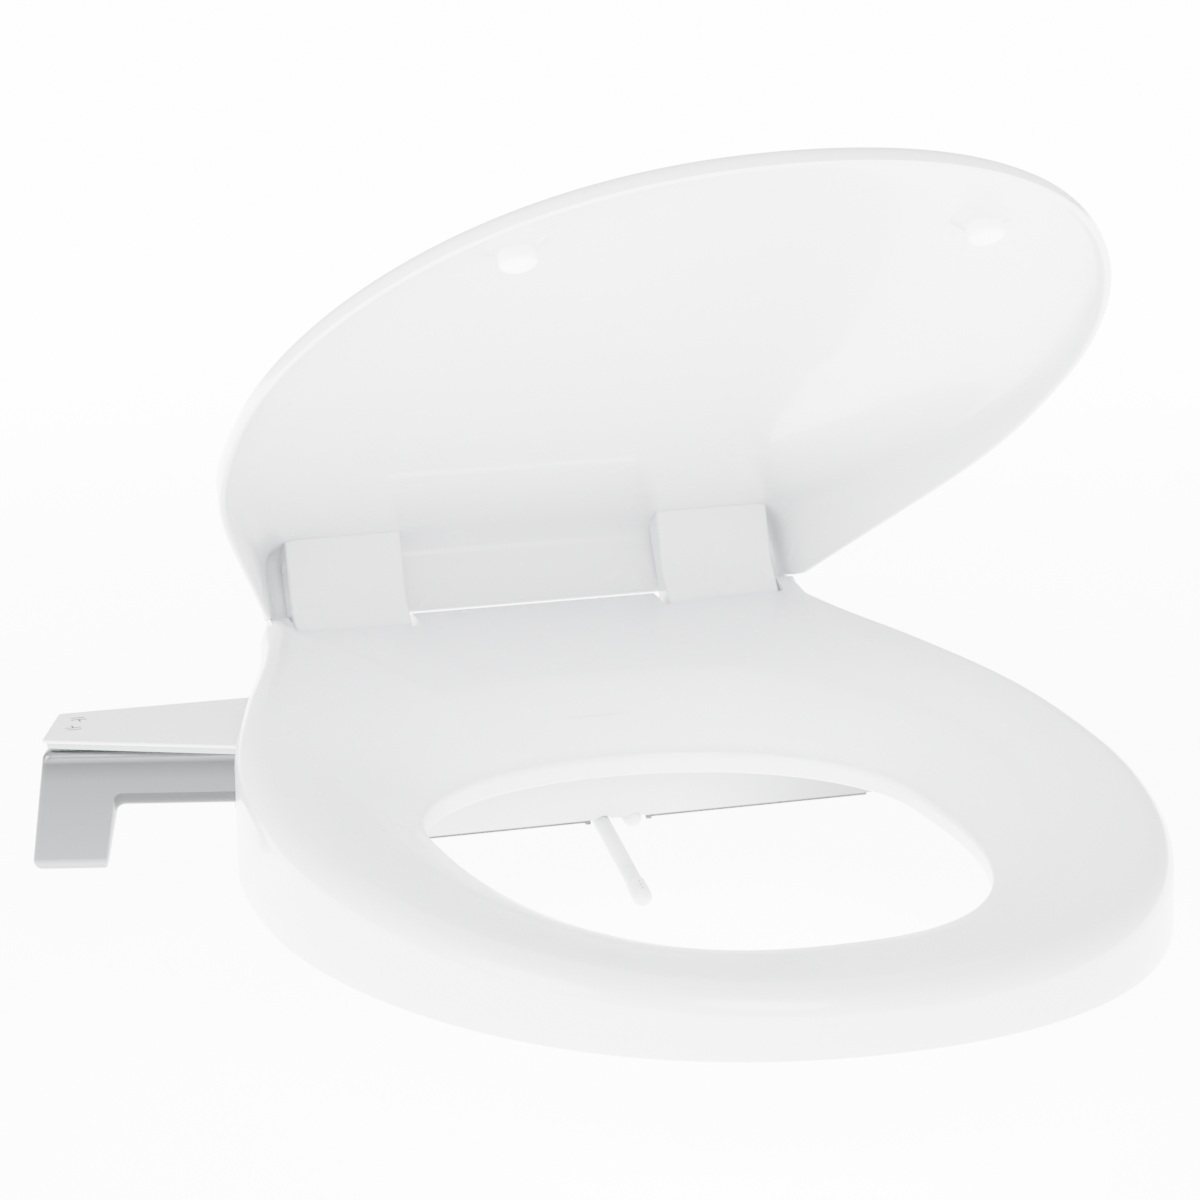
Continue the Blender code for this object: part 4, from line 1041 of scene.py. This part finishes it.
def build_nozzle(which, x, out):
    start = nozzle_point(x, NOZZLE_LENGTH - out)
    end = NOZZLE_LENGTH - NOZZLE_SHORT - NOZZLE_HEAD
    grooves = []
    for k in range(3):
        at = end - 0.010 - 0.0016 * k
        grooves += [(at - 0.0008, NOZZLE_R), (at - 0.0004, NOZZLE_R - 0.00025), (at, NOZZLE_R)]
    stations = [(0, NOZZLE_R - 0.0006), (0.0008, NOZZLE_R)] + sorted(grooves) + [(end, NOZZLE_R)]
    tube = turned("t", stations, start, nozzle_axis())
    tube = add_piece(which + "_wand", tube, "white_satin")
    smooth(tube, 50)
    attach(tube, which + "_nozzle")
    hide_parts(which + "_nozzle_tube")
    r = NOZZLE_HEAD_R
    profile = [(end, NOZZLE_R), (end + 0.0004, NOZZLE_R + 0.0005), (end + 0.0016, r)]
    profile.append((end + NOZZLE_HEAD - r, r))
    for i in range(1, 10):
        a = math.pi / 2 * i / 9.6
        profile.append((end + NOZZLE_HEAD - r + r * math.sin(a), r * math.cos(a)))
    head = add_piece(which + "_spray_head", turned("h", profile, start, nozzle_axis()), "white_gloss")
    holes = []
    for i in range(3):
        at = nozzle_point(x, NOZZLE_SHORT + NOZZLE_HEAD - 0.0050 - 0.0026 * i - out, r)
        hole = turned("o", [(-0.0016, 0.0006), (0.001, 0.0006)], at, (0, -0.31, 0.95), 16)
        holes.append(add_cutter("hole" + str(i), hole))
    cut(head, holes)
    smooth(head, 50)
    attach(head, which + "_nozzle")
    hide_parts(which + "_nozzle_head")


# ---------------------------------------------------------------- quick release


def build_spring():
    """The release button's coil, a copy of the CAD coil riding with the base."""
    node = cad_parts["release_spring"]
    mesh = node.data.copy()
    mesh.transform(node.matrix_world)
    coil = add_piece("spring_coil", mesh, "steel")
    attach(coil, "base")
    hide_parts("release_spring")
    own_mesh(coil)


# ---------------------------------------------------------------- stage


def build_stage():
    """A pale floor that glows and lights the object from below, glowing less near the object as painted
    shade under it.
    """
    mesh = box("floor", (-FLOOR_HALF, -FLOOR_HALF, FLOOR_Z - 0.002), (FLOOR_HALF, FLOOR_HALF, FLOOR_Z))
    floor = bpy.data.objects.new("floor", mesh)
    bpy.context.scene.collection.objects.link(floor)
    made, tree, shader = new_material("floor_look")
    shader.inputs["Base Color"].default_value = (0.95, 0.95, 0.95, 1.0)
    shader.inputs["Roughness"].default_value = 0.9
    shader.inputs["Specular IOR Level"].default_value = 0.1
    shader.inputs["Emission Color"].default_value = (1.0, 1.0, 1.0, 1.0)
    place = tree.nodes.new("ShaderNodeTexCoord")
    distance = tree.nodes.new("ShaderNodeVectorMath")
    distance.operation = "LENGTH"
    tree.links.new(place.outputs["Object"], distance.inputs[0])
    reach = distance.outputs["Value"]
    # painted shade: the glow is weaker near the object
    glow = map_range(tree, reach, GLOW_R0, GLOW_R1, FLOOR_GLOW_NEAR_PAINTED_SHADE, FLOOR_GLOW_FAR, "SMOOTHSTEP")
    tree.links.new(glow, shader.inputs["Emission Strength"])
    mesh.materials.append(made)


def area_light(name, power, size, location, target):
    light = bpy.data.lights.new(name, "AREA")
    light.shape = "DISK"
    light.size = size
    light.energy = power
    made = bpy.data.objects.new(name, light)
    bpy.context.scene.collection.objects.link(made)
    made.location = location
    made.rotation_euler = (Vector(target) - Vector(location)).to_track_quat("-Z", "Y").to_euler()


def build_lights():
    world = bpy.context.scene.world or bpy.data.worlds.new("studio")
    bpy.context.scene.world = world
    world.use_nodes = True
    sky = world.node_tree.nodes["Background"]
    sky.inputs["Color"].default_value = (1.0, 1.0, 1.0, 1.0)
    sky.inputs["Strength"].default_value = SKY_STRENGTH
    for name, (power, place) in LIGHTS.items():
        area_light(name, power, LIGHT_SIZE, place, LIGHT_AIM)


def build_camera():
    a, e, roll = CAMERA_AZIMUTH, CAMERA_ELEVATION, CAMERA_ROLL
    back = Vector((math.sin(a) * math.cos(e), -math.cos(a) * math.cos(e), math.sin(e)))
    right = (-back).cross(Vector((0, 0, 1))).normalized()
    up = right.cross(-back)
    x_axis = right * math.cos(roll) + up * math.sin(roll)
    y_axis = up * math.cos(roll) - right * math.sin(roll)
    camera = bpy.data.cameras.new("photo_view")
    camera.lens = CAMERA_LENS
    camera.sensor_width = 36.0
    made = bpy.data.objects.new("photo_view", camera)
    bpy.context.scene.collection.objects.link(made)
    turn = Matrix((x_axis, y_axis, back)).transposed().to_4x4()
    made.matrix_world = Matrix.Translation(CAMERA_TARGET + back * CAMERA_DISTANCE) @ turn
    bpy.context.scene.camera = made


def dress_frame():
    """Gives every CAD node that still shows its finer finish, and softened edges to the base cover, base
    tray and mounting bracket.
    """
    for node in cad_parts.values():
        slot = node.data.materials[0].name.split(".")[0]
        node.data.materials[0] = MATERIALS[slot]
    for name in ("base_cover", "base_tray", "mounting_bracket"):
        bevel(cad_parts[name], 0.0006, 2)


dress_frame()
build_seat()
build_lid()
build_lever()
build_lever_cover()
build_marks()
build_panel()
build_spring()
for which, (x, out) in NOZZLES.items():
    build_nozzle(which, x, out)
build_stage()
build_lights()
build_camera()
